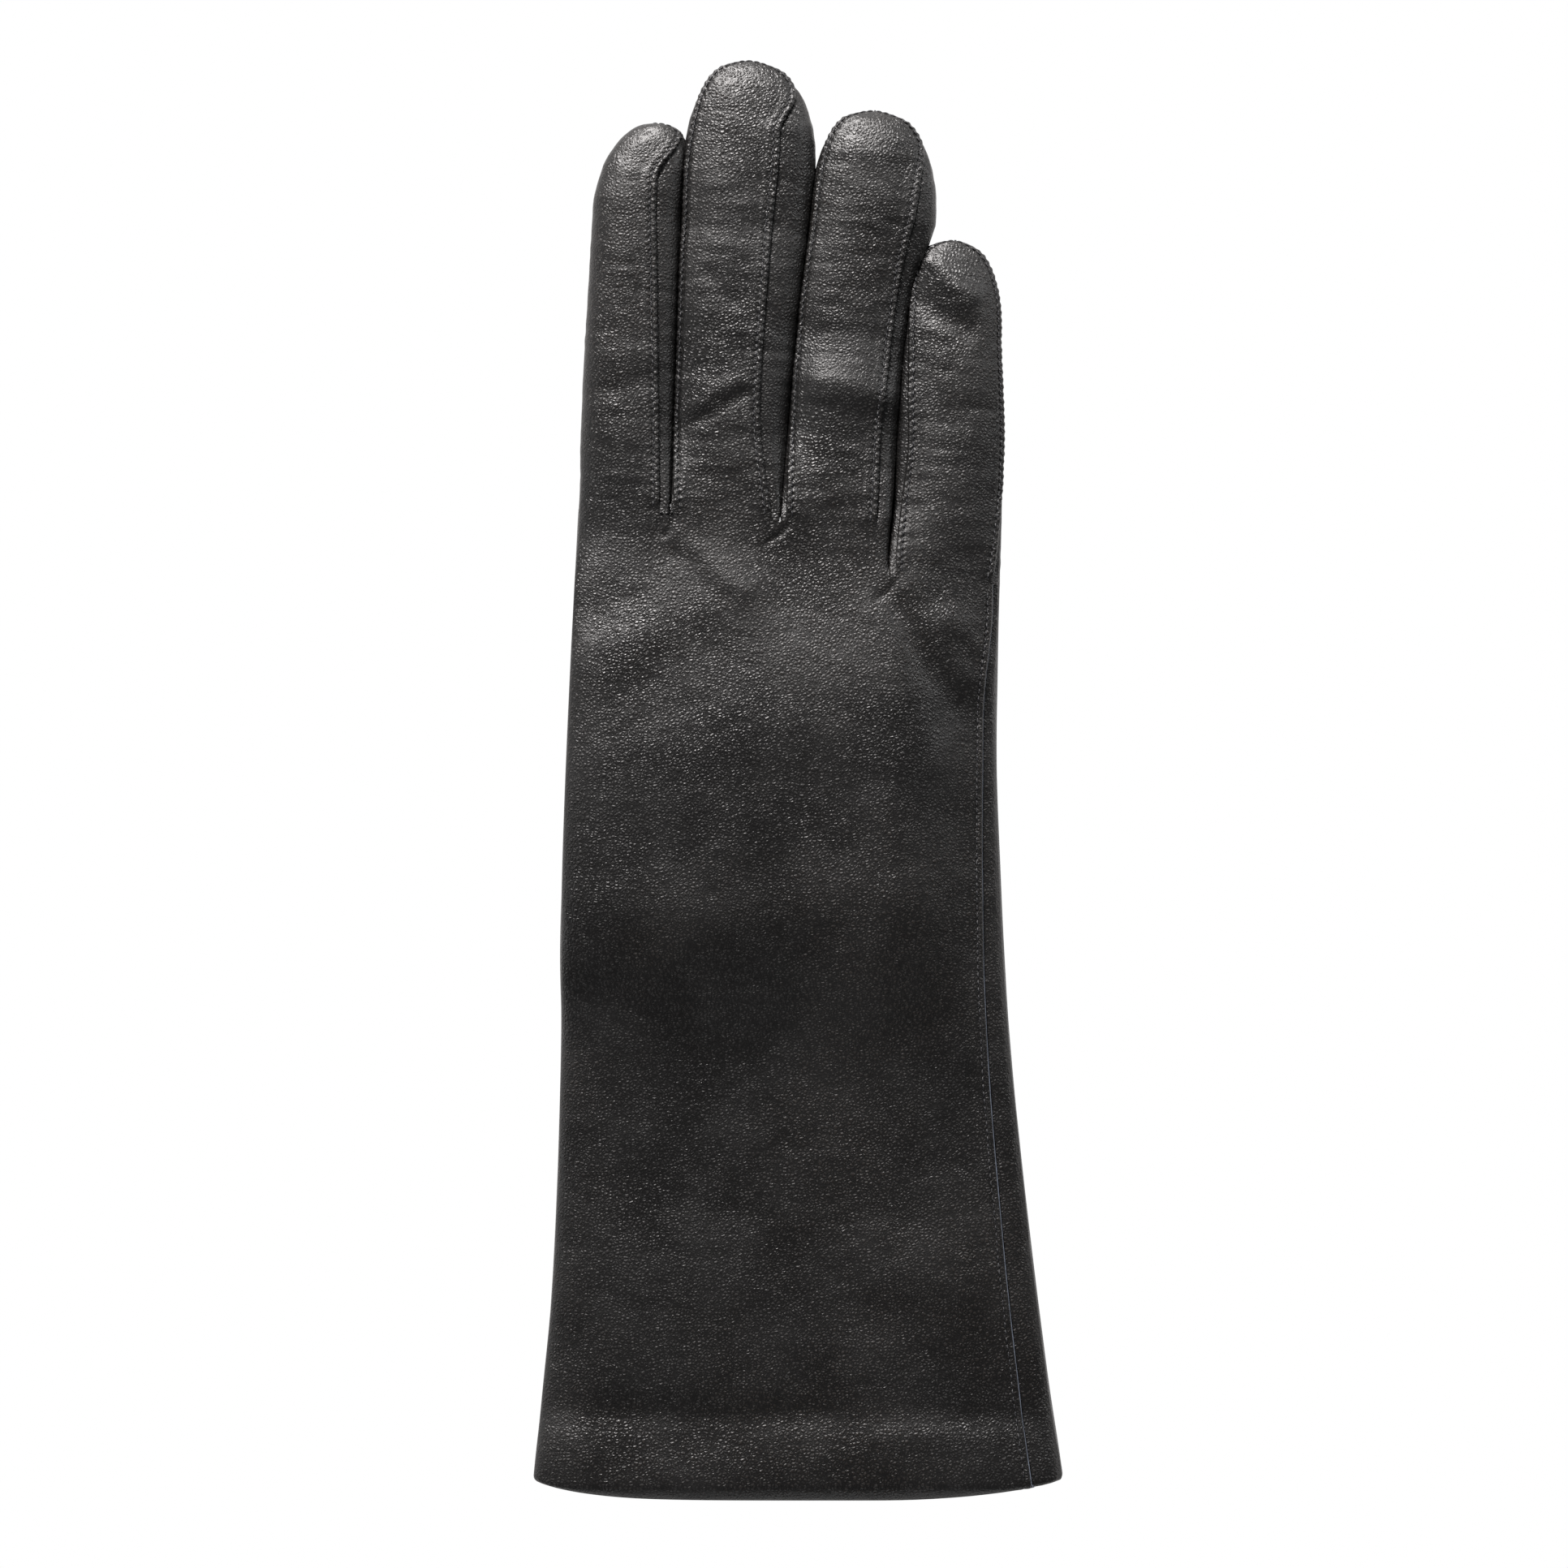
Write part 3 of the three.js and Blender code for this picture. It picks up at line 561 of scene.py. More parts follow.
# ---- Materials ----
class Nodes:
    """A material's node tree, with one call for each kind of node that the materials use."""

    def __init__(self, name):
        self.material = bpy.data.materials.new(name)
        self.material.use_nodes = True
        self.tree = self.material.node_tree
        self.shader = self.tree.nodes["Principled BSDF"]
        self.place = self.tree.nodes.new("ShaderNodeTexCoord").outputs["Object"]

    def link(self, source, target):
        self.tree.links.new(source, target)

    def node(self, kind, **settings):
        made = self.tree.nodes.new(kind)
        for key, value in settings.items():
            setattr(made, key, value)
        return made

    def stretched(self, scale):
        mapping = self.node("ShaderNodeMapping")
        mapping.inputs["Scale"].default_value = scale
        self.link(self.place, mapping.inputs["Vector"])
        return mapping.outputs["Vector"]

    def noise(self, vector, scale, detail=2.0, rough=0.5):
        made = self.node("ShaderNodeTexNoise")
        made.inputs["Scale"].default_value = scale
        made.inputs["Detail"].default_value = detail
        made.inputs["Roughness"].default_value = rough
        self.link(vector, made.inputs["Vector"])
        return made.outputs["Fac"]

    def wander(self, vector, scale, amount):
        """The vector, pushed about by noise so that cells lose their regular look."""
        made = self.node("ShaderNodeTexNoise")
        made.inputs["Scale"].default_value = scale
        self.link(vector, made.inputs["Vector"])
        push = self.node("ShaderNodeVectorMath", operation="MULTIPLY_ADD")
        push.inputs[1].default_value = (amount,) * 3
        self.link(made.outputs["Color"], push.inputs[0])
        self.link(vector, push.inputs[2])
        return push.outputs["Vector"]

    def cells(self, vector, scale):
        made = self.node("ShaderNodeTexVoronoi", feature="DISTANCE_TO_EDGE")
        made.inputs["Scale"].default_value = scale
        self.link(vector, made.inputs["Vector"])
        return made.outputs["Distance"]

    def ramp(self, source, low, high, to_low=0.0, to_high=1.0):
        made = self.node("ShaderNodeMapRange", interpolation_type="SMOOTHSTEP")
        values = (low, high, to_low, to_high)
        for socket, value in zip(("From Min", "From Max", "To Min", "To Max"), values):
            made.inputs[socket].default_value = value
        self.link(source, made.inputs["Value"])
        return made.outputs["Result"]

    def mix(self, factor, a, b):
        made = self.node("ShaderNodeMix", data_type="RGBA")
        self.link(factor, made.inputs[0])
        for value, socket in ((a, made.inputs[6]), (b, made.inputs[7])):
            if isinstance(value, tuple):
                socket.default_value = (*value, 1)
            else:
                self.link(value, socket)
        return made.outputs[2]

    def bump(self, height, distance, strength, before=None):
        made = self.node("ShaderNodeBump")
        made.inputs["Distance"].default_value = distance
        made.inputs["Strength"].default_value = strength
        self.link(height, made.inputs["Height"])
        if before:
            self.link(before, made.inputs["Normal"])
        return made.outputs["Normal"]

    def math(self, operation, a, b):
        made = self.node("ShaderNodeMath", operation=operation)
        for value, socket in ((a, made.inputs[0]), (b, made.inputs[1])):
            if isinstance(value, (int, float)):
                socket.default_value = value
            else:
                self.link(value, socket)
        return made.outputs[0]


def leather_material(name, dark, warm, rough):
    """Nappa: small domed pebbles parted by fine creases, slow changes of tone, and a satin shine. The base
    colour is painted darker in the creases between the pebbles, which is painted shade.
    """
    n = Nodes(name)
    bent = n.wander(n.place, 520, 0.0005)
    pebbles = n.ramp(n.cells(bent, 1450), 0.0, 0.5)
    finer = n.ramp(n.cells(n.wander(n.stretched((1.0, 1.25, 1.0)), 900, 0.0004), 2300), 0.0, 0.3)
    pores = n.noise(n.place, 4200, 1.0)
    wrinkles = n.noise(n.stretched((0.8, 1.25, 1.0)), 240, 2.0, 0.5)
    slow = n.noise(n.place, 60, 3.0)
    broad = n.ramp(n.noise(n.place, 26, 3.0, 0.6), 0.38, 0.66)
    tone = n.mix(broad, dark, warm)
    # painted shade: the base colour falls to a third of the dark tone in the creases between the pebbles
    crease = n.mix(pebbles, tuple(c * 0.3 for c in dark), tone)
    n.link(crease, n.shader.inputs["Base Color"])
    dull = n.math("ADD", slow, n.math("MULTIPLY", pores, 0.25))
    n.link(n.ramp(dull, 0.4, 0.85, *rough), n.shader.inputs["Roughness"])
    first = n.bump(slow, 0.0009, 0.8)
    wrinkled = n.bump(wrinkles, 0.0001, 0.7, first)
    second = n.bump(pebbles, 0.00010, 0.85, wrinkled)
    third = n.bump(finer, 0.00002, 0.6, second)
    n.link(n.bump(pores, 0.00002, 0.4, third), n.shader.inputs["Normal"])
    n.shader.inputs["Specular IOR Level"].default_value = 0.5
    return n.material


def raw_edge_material():
    """The cut edge of the dyed hide: fibrous and slightly blue."""
    n = Nodes("raw_leather_edge")
    fibres = n.noise(n.stretched((1.0, 0.35, 1.0)), 3200, 4.0, 0.7)
    tone = n.mix(n.ramp(fibres, 0.3, 0.7), (0.05, 0.058, 0.075), (0.13, 0.15, 0.19))
    n.link(tone, n.shader.inputs["Base Color"])
    n.link(n.bump(fibres, 0.0001, 0.6), n.shader.inputs["Normal"])
    n.shader.inputs["Roughness"].default_value = 0.85
    return n.material


def lining_material():
    """Fine black jersey: columns of small loops."""
    n = Nodes("knitted_lining")
    ribs = n.node("ShaderNodeTexWave", wave_type="BANDS", bands_direction="X")
    ribs.inputs["Scale"].default_value = 320
    ribs.inputs["Distortion"].default_value = 1.2
    n.link(n.place, ribs.inputs["Vector"])
    loops = n.node("ShaderNodeTexWave", wave_type="BANDS", bands_direction="Y")
    loops.inputs["Scale"].default_value = 420
    n.link(n.place, loops.inputs["Vector"])
    knit = n.math("MULTIPLY", ribs.outputs["Fac"], loops.outputs["Fac"])
    fuzz = n.noise(n.place, 5200, 3.0, 0.7)
    n.link(n.mix(knit, (0.004, 0.004, 0.005), (0.018, 0.018, 0.021)), n.shader.inputs["Base Color"])
    n.link(n.bump(fuzz, 0.0001, 0.4, n.bump(knit, 0.0003, 0.9)), n.shader.inputs["Normal"])
    n.shader.inputs["Roughness"].default_value = 0.95
    n.shader.inputs["Sheen Weight"].default_value = 0.25
    return n.material


def thread_material():
    """Black twisted sewing thread."""
    n = Nodes("sewing_thread")
    twist = n.node("ShaderNodeTexWave", wave_type="BANDS", bands_direction="DIAGONAL")
    twist.inputs["Scale"].default_value = 900
    n.link(n.place, twist.inputs["Vector"])
    tone = n.mix(twist.outputs["Fac"], (0.006, 0.006, 0.007), (0.022, 0.022, 0.025))
    n.link(tone, n.shader.inputs["Base Color"])
    n.link(n.bump(twist.outputs["Fac"], 0.00008, 0.7), n.shader.inputs["Normal"])
    n.shader.inputs["Roughness"].default_value = 0.5
    return n.material


LEATHER_DARK = (0.0094, 0.0086, 0.0085)
LEATHER_WARM = (0.0130, 0.0104, 0.0089)
LEATHER_ROUGH = (0.35, 0.48)
LEATHER_FINISH = leather_material("black_nappa", LEATHER_DARK, LEATHER_WARM, LEATHER_ROUGH)
RAW_FINISH = raw_edge_material()
LINING_FINISH = lining_material()
THREAD_FINISH = thread_material()


def finish_piece(piece, nodes, body=None):
    """Hides the CAD parts that the piece stands for, and hangs it on the body it moves with or bakes its
    place into its mesh.
    """
    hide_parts(*nodes)
    if body:
        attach(piece, body)
    else:
        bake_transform(piece)
    return piece


# ---- Trank: the leather of hand and cuff, one piece from the outseam round the left side to the outseam 
SIDE_STEP = 1e-7  # ring angle
FOURCHETTE_STEPS = 4  # columns on each side of a fourchette's middle line
FOURCHETTE_RISE = 0.24  # a fourchette swells this far, and sinks by FOURCHETTE_SINK along its seams
FOURCHETTE_SINK = 0.56
BACK_STEPS = 30
PALM_STEPS = 16
SEAM_ANCHOR = 0.3  # columns of the back beyond this share of the half width follow the outseam
SEAM_MEETS_ROOT = (20, 36)  # y over which the outseam runs over into the little finger's seam
HEM_ROWS = [0, 0.12, 0.3, 0.6, 1.0, 1.6, 2.4, 3.4]  # distances from the hem's edge
HEM_EVEN = 40  # rows keep an even distance from the hem this far up
HAND_ROWS_FROM = 160  # rows lie closer together from here on
HAND_ROWS_TO = 186.5
ROOT_ROWS = 17


def strip_rings(name, part, v):
    """Ring angles of a strip's columns, as an array with a last axis of columns."""
    right, left, palm_left, palm_right = (np.asarray(a)[..., None] for a in seams(name, v))
    half = np.linspace(0, 1, FOURCHETTE_STEPS + 1)
    if part == "back":
        return lerp(right, left, crowd(BACK_STEPS))
    if part == "palm":
        return lerp(palm_left, palm_right, crowd(PALM_STEPS, 0.5))
    start, middle, end = (left, math.pi, palm_left) if part == "left" else (palm_right, TURN, TURN + right)
    return np.concatenate([lerp(start, middle, half), lerp(middle, end, half[1:])], -1)


def hand_columns(v):
    """Every finger's columns at one v, from the outseam over the back, round the left side and back under the
    palm to the outseam: a list of (finger, ring angle, on the back)."""
    columns = []
    for name in ("little", "ring", "middle", "index"):
        rings = []
        if FINGERS[name]["slit_right"] is not None:
            rings += list(strip_rings(name, "right", v)[FOURCHETTE_STEPS:] - TURN)
        rings += list(strip_rings(name, "back", v))[1 if rings else 0:]
        if FINGERS[name]["slit_left"] is not None:
            rings += list(strip_rings(name, "left", v)[1:FOURCHETTE_STEPS + 1])
        columns += [(name, ring, True) for ring in rings]
    for name in ("index", "middle", "ring", "little"):
        rings = []
        if FINGERS[name]["slit_left"] is not None:
            rings += list(strip_rings(name, "left", v)[FOURCHETTE_STEPS:])
        rings += list(strip_rings(name, "palm", v))[1:]
        if FINGERS[name]["slit_right"] is not None:
            rings += list(strip_rings(name, "right", v)[1:FOURCHETTE_STEPS + 1])
        columns += [(name, ring, ring > TURN) for ring in rings]
    return columns


def outseam_share(y):
    return 1 - curve(OUTSEAM_INSET, y) / half_width(y)


def kept_side(ring, up):
    """A ring angle of the back (up) or of the palm, moved just off the side lines that the two share."""
    if up:
        return np.clip(np.where(ring > TURN, ring - TURN, ring), SIDE_STEP, math.pi - SIDE_STEP)
    return np.clip(ring, math.pi + SIDE_STEP, TURN - SIDE_STEP)


def trank_grid():
    """Rows from the hem to the finger roots. Above the little finger's root its columns are left out."""
    columns = hand_columns(LITTLE_ROOT)
    root = np.stack([finger_point(name, LITTLE_ROOT, kept_side(ring, up)) for name, ring, up in columns])
    top = np.array([on_back for _, _, on_back in columns])
    share = np.clip((root[:, 0] - middle_x(root[:, 1])) / half_width(root[:, 1]), -1, 1)
    seam_root = share[0]

    def place(y):
        seam = lerp(outseam_share(y), seam_root, smooth(y, *SEAM_MEETS_ROOT))
        near_seam = top & (share > SEAM_ANCHOR)
        pulled = SEAM_ANCHOR + (share - SEAM_ANCHOR) * (seam - SEAM_ANCHOR) / (seam_root - SEAM_ANCHOR)
        moved = np.where(near_seam, pulled, share)
        beyond = near_seam & (np.arange(len(share)) > len(share) / 2)
        moved = np.where(beyond, 1 - (1 - share) * (1 - seam) / (1 - seam_root), moved)
        return middle_x(y) + half_width(y) * moved

    start = hem_y(place(np.full(len(share), HEM_LOW + 2.0)))
    length = root[:, 1] - start
    cuff_rows = np.arange(5, HAND_ROWS_FROM, 1.7)
    hand_rows = np.arange(HAND_ROWS_FROM, HAND_ROWS_TO, 0.8)
    total = length.max()
    rows = []
    for way in np.concatenate([HEM_ROWS, cuff_rows, hand_rows]):
        beyond = (length - HEM_EVEN) * max(way - HEM_EVEN, 0) / (total - HEM_EVEN)
        y = start + np.minimum(way, HEM_EVEN) + beyond
        rows.append(np.stack([place(y), y, tube_z(place(y), y, top)], -1))
    near_root = np.abs(rows[-1][:, 1] - root[:, 1]) < 0.3
    rows = rows[:-1] if near_root.all() else rows
    v_rows = np.linspace(LITTLE_ROOT, 0, ROOT_ROWS)
    for v in list(v_rows) + [ROW_STEP]:
        named = hand_columns(v)
        rows.append(np.stack([finger_point(name, v, kept_side(ring, up)) for name, ring, up in named]))
    grid = np.array(rows)
    is_little = np.array([name == "little" for name, _, _ in columns])
    return grid, top, is_little, len(rows) - 1 - len(v_rows)


def build_trank():
    grid, top, is_little, first_v = trank_grid()
    normals = grid_normals(grid)
    x, y = grid[..., 0], grid[..., 1]
    back = back_relief(x, y, normals) + crotch_marks(x, y)
    rise = np.where(top[None, :], back, waves(x, y, PALM_WAVE, 9))
    hem_way = lengths(grid, 0)
    from_edge = lengths(grid, 1)
    phase = TURN * hem_way[:, :1] / STITCH_PITCH
    rise = rise + lap(from_edge, phase) - under(from_edge[:, -1:] - from_edge)
    turn = np.clip(HEM_ROUND - hem_way, 0, HEM_ROUND)
    rise = rise - (HEM_ROUND - np.sqrt(HEM_ROUND**2 - turn**2))
    grid = grid + normals * rise[..., None]
    grid[..., 2] = np.maximum(grid[..., 2], 0)
    normals = grid_normals(grid)
    grid, normals = grid[:-1], normals[:-1]
    thickness = LEATHER * (0.2 + 0.8 * smooth(hem_way[:-1], 0, HEM_ROUND))
    missing = np.zeros(grid.shape[:2], bool)
    missing[first_v:, is_little] = True
    pocket = np.hypot(grid[..., 0] - THUMB_PIVOT[0], grid[..., 1] - THUMB_PIVOT[1]) < THUMB_HOLE
    missing |= pocket & ~top[None, :]
    shift = np.zeros_like(grid)
    shift[:, 0, 0] = RAW_REACH
    piece = sheet_mesh(
        "trank", grid, normals, thickness, LEATHER_FINISH, missing=missing, raw=RAW_FINISH, inner_shift=shift
    )
    finish_piece(piece, ["cuff_back", "cuff_palm", "hand_back", "hand_palm"])
    # The outseam's stitches follow the cut edge on the back.
    path, up = offset_line(grid[:first_v], normals[:first_v], STITCH_INSET)
    keep = path[:, 1] > HEM_LOW + 4
    stitches = stitch_mesh("outseam_stitches", path[keep], up[keep], THREAD_FINISH)
    finish_piece(stitches, ["outseam_thread_cuff", "outseam_thread_hand"])


def lap(away, phase):
    """Height of a seam's upper edge: proud of the skin, rounded at the cut, pulled down at the stitches."""
    proud = LAP_RISE * (1 - smooth(away, STITCH_INSET, LAP_WIDTH))
    cut = -CUT_DEPTH * (1 - smooth(away, 0, CUT_WIDTH))
    near_stitches = np.exp(-(((away - STITCH_INSET) / GROOVE_WIDTH) ** 2))
    groove = -GROOVE_DEPTH * near_stitches * (1 + GROOVE_WAVE * np.cos(phase))
    pucker = PUCKER_HEIGHT * np.cos(phase) * np.exp(-(((away - PUCKER_AT) / PUCKER_WIDTH) ** 2))
    return proud + cut + groove + pucker


def under(away):
    """How far the lower edge of a seam sinks to pass under the upper one."""
    return UNDER_DEPTH * (1 - smooth(away, *UNDER_WIDTH))


def offset_line(grid, normals, away):
    """The line that runs a distance in from a grid's first column, with the normals there."""
    walked = lengths(grid, 1)
    path = np.empty((len(grid), 3))
    up = np.empty((len(grid), 3))
    for j in range(len(grid)):
        for k in range(3):
            path[j, k] = np.interp(away, walked[j], grid[j, :, k])
            up[j, k] = np.interp(away, walked[j], normals[j, :, k])
    return path, up


# ---- Fingers ----
def finger_rows(name):
    """Places along a finger from just below its root to its tip; rows close up in the round tip."""
    f = FINGERS[name]
    tip_from = f["outline"][-1][0]
    straight = np.linspace(f["root"], tip_from, int((tip_from - f["root"]) / ROW_STEP))
    turns = np.linspace(0, math.pi / 2, int((f["tip"] - tip_from) * 1.5 / ROW_STEP))[1:]
    rounded = tip_from + (f["tip"] - tip_from) * np.sin(turns)
    return np.concatenate([[f["root"] - ROW_STEP], straight, rounded])


def finger_strip(name, part):
    """The grid of one strip of a finger, its normals, and the rows' places along the finger."""
    f = FINGERS[name]
    v = finger_rows(name)
    rings = strip_rings(name, part, v)
    margin = np.zeros(2, int)
    if part == "back" and f["slit_left"] is None:
        rings = np.concatenate([rings, rings[:, -1:] + SIDE_MARGIN], 1)
        margin[1] = 1
    if part == "palm" and f["slit_left"] is None:
        rings = np.concatenate([rings[:, :1] - SIDE_MARGIN, rings], 1)
        margin[0] = 1
    tip_normal = (math.sin(FOLD_LEAN), math.cos(FOLD_LEAN), 0)
    grid = finger_point(name, v[:, None], rings)
    grid[-1] = grid[-1].mean(axis=0)
    normals = grid_normals(grid)
    normals[-1] = tip_normal
    x, y = grid[..., 0], grid[..., 1]
    fade = smooth(v, f["root"], f["root"] + 3)[:, None]
    tip_fade = 1 - smooth(v, f["tip"] - 2.5, f["tip"] - 0.2)[:, None]
    u = x * math.cos(FOLD_LEAN) - y * math.sin(FOLD_LEAN)
    rise = back_relief(x, y, normals) + FINGER_RIPPLE * noise(u / 6, v[:, None] / 1.7, 5) * fade
    across = lengths(grid, 1)
    left_away, right_away = across, across[:, -1:] - across
    phase = TURN * lengths(grid, 0) / STITCH_PITCH
    if part == "back":
        rise = rise + lap(left_away, phase[:, :1]) * fade
        if f["slit_left"] is not None:
            rise = rise + lap(right_away, phase[:, -1:]) * fade
    elif part == "palm":
        if f["slit_left"] is not None:
            rise = rise + lap(left_away, phase[:, :1]) * fade
        if f["slit_right"] is not None:
            rise = rise + lap(right_away, phase[:, -1:]) * fade
        else:
            rise = rise - under(right_away) * fade
    else:
        nearest = np.minimum(left_away, right_away)
        rise = rise + (FOURCHETTE_RISE - FOURCHETTE_SINK * (1 - smooth(nearest, 0.3, 1.5))) * fade
    grid = grid + normals * (rise * tip_fade)[..., None]
    grid[..., 2] = np.maximum(grid[..., 2], 0)
    normals = grid_normals(grid)
    normals[-1] = tip_normal
    last = grid.shape[1] - margin[1]
    return grid[1:, margin[0]:last], normals[1:, margin[0]:last], v[1:]


def halves(v, cut):
    """The rows of a finger's lower and upper half. Both have the row at the cut."""
    at = int(np.searchsorted(v, cut))
    return {"lower": slice(0, at + 1), "upper": slice(at, None)}


def build_strip(name, part, cut):
    grid, normals, v = finger_strip(name, part)
    label = part if part in ("back", "palm") else f"fourchette_{part}"
    for half, rows in halves(v, cut).items():
        piece = sheet_mesh(
            f"{name}_{label}_skin_{half}", grid[rows], normals[rows], FINGER_LEATHER, LEATHER_FINISH,
            pole=half == "upper",
        )
        finish_piece(piece, [f"{name}_{label}_{half}"])
        if part == "back":
            sides = [("right", 1)]
            if FINGERS[name]["slit_left"] is not None:
                sides.append(("left", -1))
            for side, step in sides:
                path, up = offset_line(grid[rows][:, ::step], normals[rows][:, ::step], STITCH_INSET)
                low = 1.0 if half == "lower" else 0.0
                stitches = stitch_mesh(f"{name}_stitches_{side}_{half}", path, up, THREAD_FINISH, low)
                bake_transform(stitches)


def build_finger_lining(name, cut):
    f = FINGERS[name]
    v = np.concatenate([np.linspace(f["root"], f["outline"][-1][0], 26), f["tip"] - np.array([9, 6, 4, 3])])
    grid = finger_point(name, v[:, None], np.linspace(0, TURN, 37)[:-1])
    normals = ring_normals(grid)
    grid = grid - normals * LINING_INSET
    for half, rows in halves(v, cut).items():
        label = f"{name}_lining_skin_{half}"
        piece = sheet_mesh(label, grid[rows], normals[rows], LINING, LINING_FINISH, wrap=True)
        finish_piece(piece, [f"{name}_lining_{half}"])


def build_finger(name):
    f = FINGERS[name]
    short = LITTLE_BLEND if name == "little" else 1
    root_end = f["root"] + ROOT_BLEND * short
    middle_start = f["middle"] - MIDDLE_BLEND * short
    cut = (root_end + middle_start) / 2
    parts = ["back", "palm"]
    parts += ["left"] if f["slit_left"] is not None else []
    parts += ["right"] if f["slit_right"] is not None else []
    for part in parts:
        build_strip(name, part, cut)
    build_finger_lining(name, cut)


# ---- Lining and hem ----
def tube_ring(count=96):
    """Shares across and sides of a closed ring of columns round the hand."""
    ring = np.linspace(0, TURN, count + 1)[:-1]
    return np.cos(ring), np.mod(ring, TURN) < math.pi


def tube_rows(starts, ends, count):
    """A closed grid of the tube between two lines, each a function of x, with its normals."""
    share, top = tube_ring()
    y0 = starts(middle_x(-140.0) + half_width(-140.0) * share)
    y1 = ends(middle_x(40.0) + half_width(40.0) * share)
    rows = []
    for t in np.linspace(0, 1, count + 1):
        y = lerp(y0, y1, t)
        x = middle_x(y) + half_width(y) * share
        rows.append(np.stack([x, y, tube_z(x, y, top)], -1))
    grid = np.array(rows)
    normals = ring_normals(grid)
    return grid, normals


def build_lining():
    def roots(x):
        """The line just below every finger's root."""
        split = FINGERS["little"]["outline"][0][1] - FINGERS["little"]["outline"][0][2] + FOLD_ORIGIN[0]
        v = np.where(x > split, LITTLE_ROOT, 0.0) - 0.5
        return FOLD_ORIGIN[1] + (v - (x - FOLD_ORIGIN[0]) * math.sin(FOLD_LEAN)) / math.cos(FOLD_LEAN)

    grid, normals = tube_rows(lambda x: hem_y(x) + HEM_FACING - 1, roots, 90)
    grid = grid - normals * LINING_INSET
    piece = sheet_mesh("hand_and_cuff_lining", grid, normals, LINING, LINING_FINISH, wrap=True)
    finish_piece(piece, ["cuff_lining", "hand_lining"])


def build_hem():
    grid, normals = tube_rows(hem_y, lambda x: hem_y(x) + HEM_FACING, 24)
    way = lengths(grid, 0)
    inset = 0.95 + 0.25 * smooth(way, 0, 1.2)
    thick = LEATHER * (0.25 + 0.75 * smooth(way, 0, 1.0))
    puff = waves(grid[..., 0], grid[..., 1], HEM_WAVE, 21)
    grid = grid - normals * (inset + puff * smooth(way, 1, 4))[..., None]
    piece = sheet_mesh("turned_hem", grid, normals, thick, LEATHER_FINISH, wrap=True)
    finish_piece(piece, ["hem_facing"], body="cuff")
    row = grid[-2] - normals[-2] * (LEATHER + 0.05)
    path = np.concatenate([row, row[:1]])
    up = -np.concatenate([normals[-2], normals[-2][:1]])
    stitches = stitch_mesh("hem_stitches", path, up, THREAD_FINISH)
    finish_piece(stitches, ["hem_thread"], body="cuff")


# ---- Thumb ----
def thumb_point(s, ring):
    """A place on the thumb's skin: s runs from its pivot to its tip."""
    s, ring = np.broadcast_arrays(np.asarray(s, float), np.asarray(ring, float))
    along = np.clip((s - THUMB_TIP_FROM) / (THUMB_REACH - THUMB_TIP_FROM), 0, 1)
    shrink = bulge(along, 2)
    share = np.cos(ring)
    size = np.abs(share)
    half = curve(THUMB_HALF, s)
    side = half * share * shrink
    palm = underside(size, 1 - FINGER_CORNER * THUMB_HEIGHT / half)
    top = np.mod(ring + 1e-9, TURN) < math.pi
    z = THUMB_HEIGHT / 2 * (1 + shrink * np.where(top, bulge(size, FINGER_TOP_POWER), palm))
    rim = np.sqrt(np.maximum(THUMB_MOUTH**2 - np.minimum(np.abs(side), THUMB_MOUTH) ** 2, 0))
    start = lerp(rim, s, smooth(s, THUMB_MOUTH, THUMB_MOUTH + 12))
    x = THUMB_PIVOT[0] + start * math.sin(THUMB_LEAN) + side * math.cos(THUMB_LEAN)
    y = THUMB_PIVOT[1] + start * math.cos(THUMB_LEAN) - side * math.sin(THUMB_LEAN)
    return np.stack([x, y, z], -1)


def build_thumb():
    straight = np.linspace(THUMB_MOUTH, THUMB_TIP_FROM, 60)
    turns = np.linspace(0, math.pi / 2, 40)[1:]
    s = np.concatenate([straight, THUMB_TIP_FROM + (THUMB_REACH - THUMB_TIP_FROM) * np.sin(turns)])
    tip_normal = (math.sin(THUMB_LEAN), math.cos(THUMB_LEAN), 0)
    for label, start in (("upper", 0), ("lower", math.pi)):
        grid = thumb_point(s[:, None], start + math.pi * crowd(30))
        grid[-1] = grid[-1].mean(axis=0)
        normals = grid_normals(grid)
        normals[-1] = tip_normal
        across = lengths(grid, 1)
        phase = TURN * lengths(grid, 0) / STITCH_PITCH
        fade = 1 - smooth(s, THUMB_REACH - 1.5, THUMB_REACH - 0.2)[:, None]
        rise = waves(grid[..., 0], grid[..., 1], THUMB_WAVE, 31)
        for away, edge in ((across, phase[:, :1]), (across[:, -1:] - across, phase[:, -1:])):
            rise = rise + (0.5 * lap(away, edge) if label == "lower" else -0.5 * under(away))
        rise = np.maximum(rise, -0.5)
        inward = np.clip(-normals[..., 2], 0, 1) * 0.45
        grid = grid + normals * (rise * fade - inward * (label == "lower"))[..., None]
        normals = grid_normals(grid)
        normals[-1] = tip_normal
        piece = sheet_mesh(f"thumb_{label}_skin", grid, normals, THUMB_LEATHER, LEATHER_FINISH, pole=True)
        finish_piece(piece, [f"thumb_{label}_half"], body="thumb")
        if label == "lower":
            for side, step in (("left", 1), ("right", -1)):
                path, up = offset_line(grid[12:, ::step], normals[12:, ::step], STITCH_INSET)
                stitches = stitch_mesh(f"thumb_stitches_{side}", path, up, THREAD_FINISH)
                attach(stitches, "thumb")
    rings = np.linspace(0, TURN, 33)[:-1]
    s = np.linspace(THUMB_MOUTH + 1, THUMB_REACH - 4, 30)
    grid = thumb_point(s[:, None], rings)
    normals = ring_normals(grid)
    grid = grid - normals * THUMB_LINING_INSET
    piece = sheet_mesh("thumb_lining_skin", grid, normals, THUMB_LINING, LINING_FINISH, wrap=True)
    finish_piece(piece, ["thumb_lining"], body="thumb")


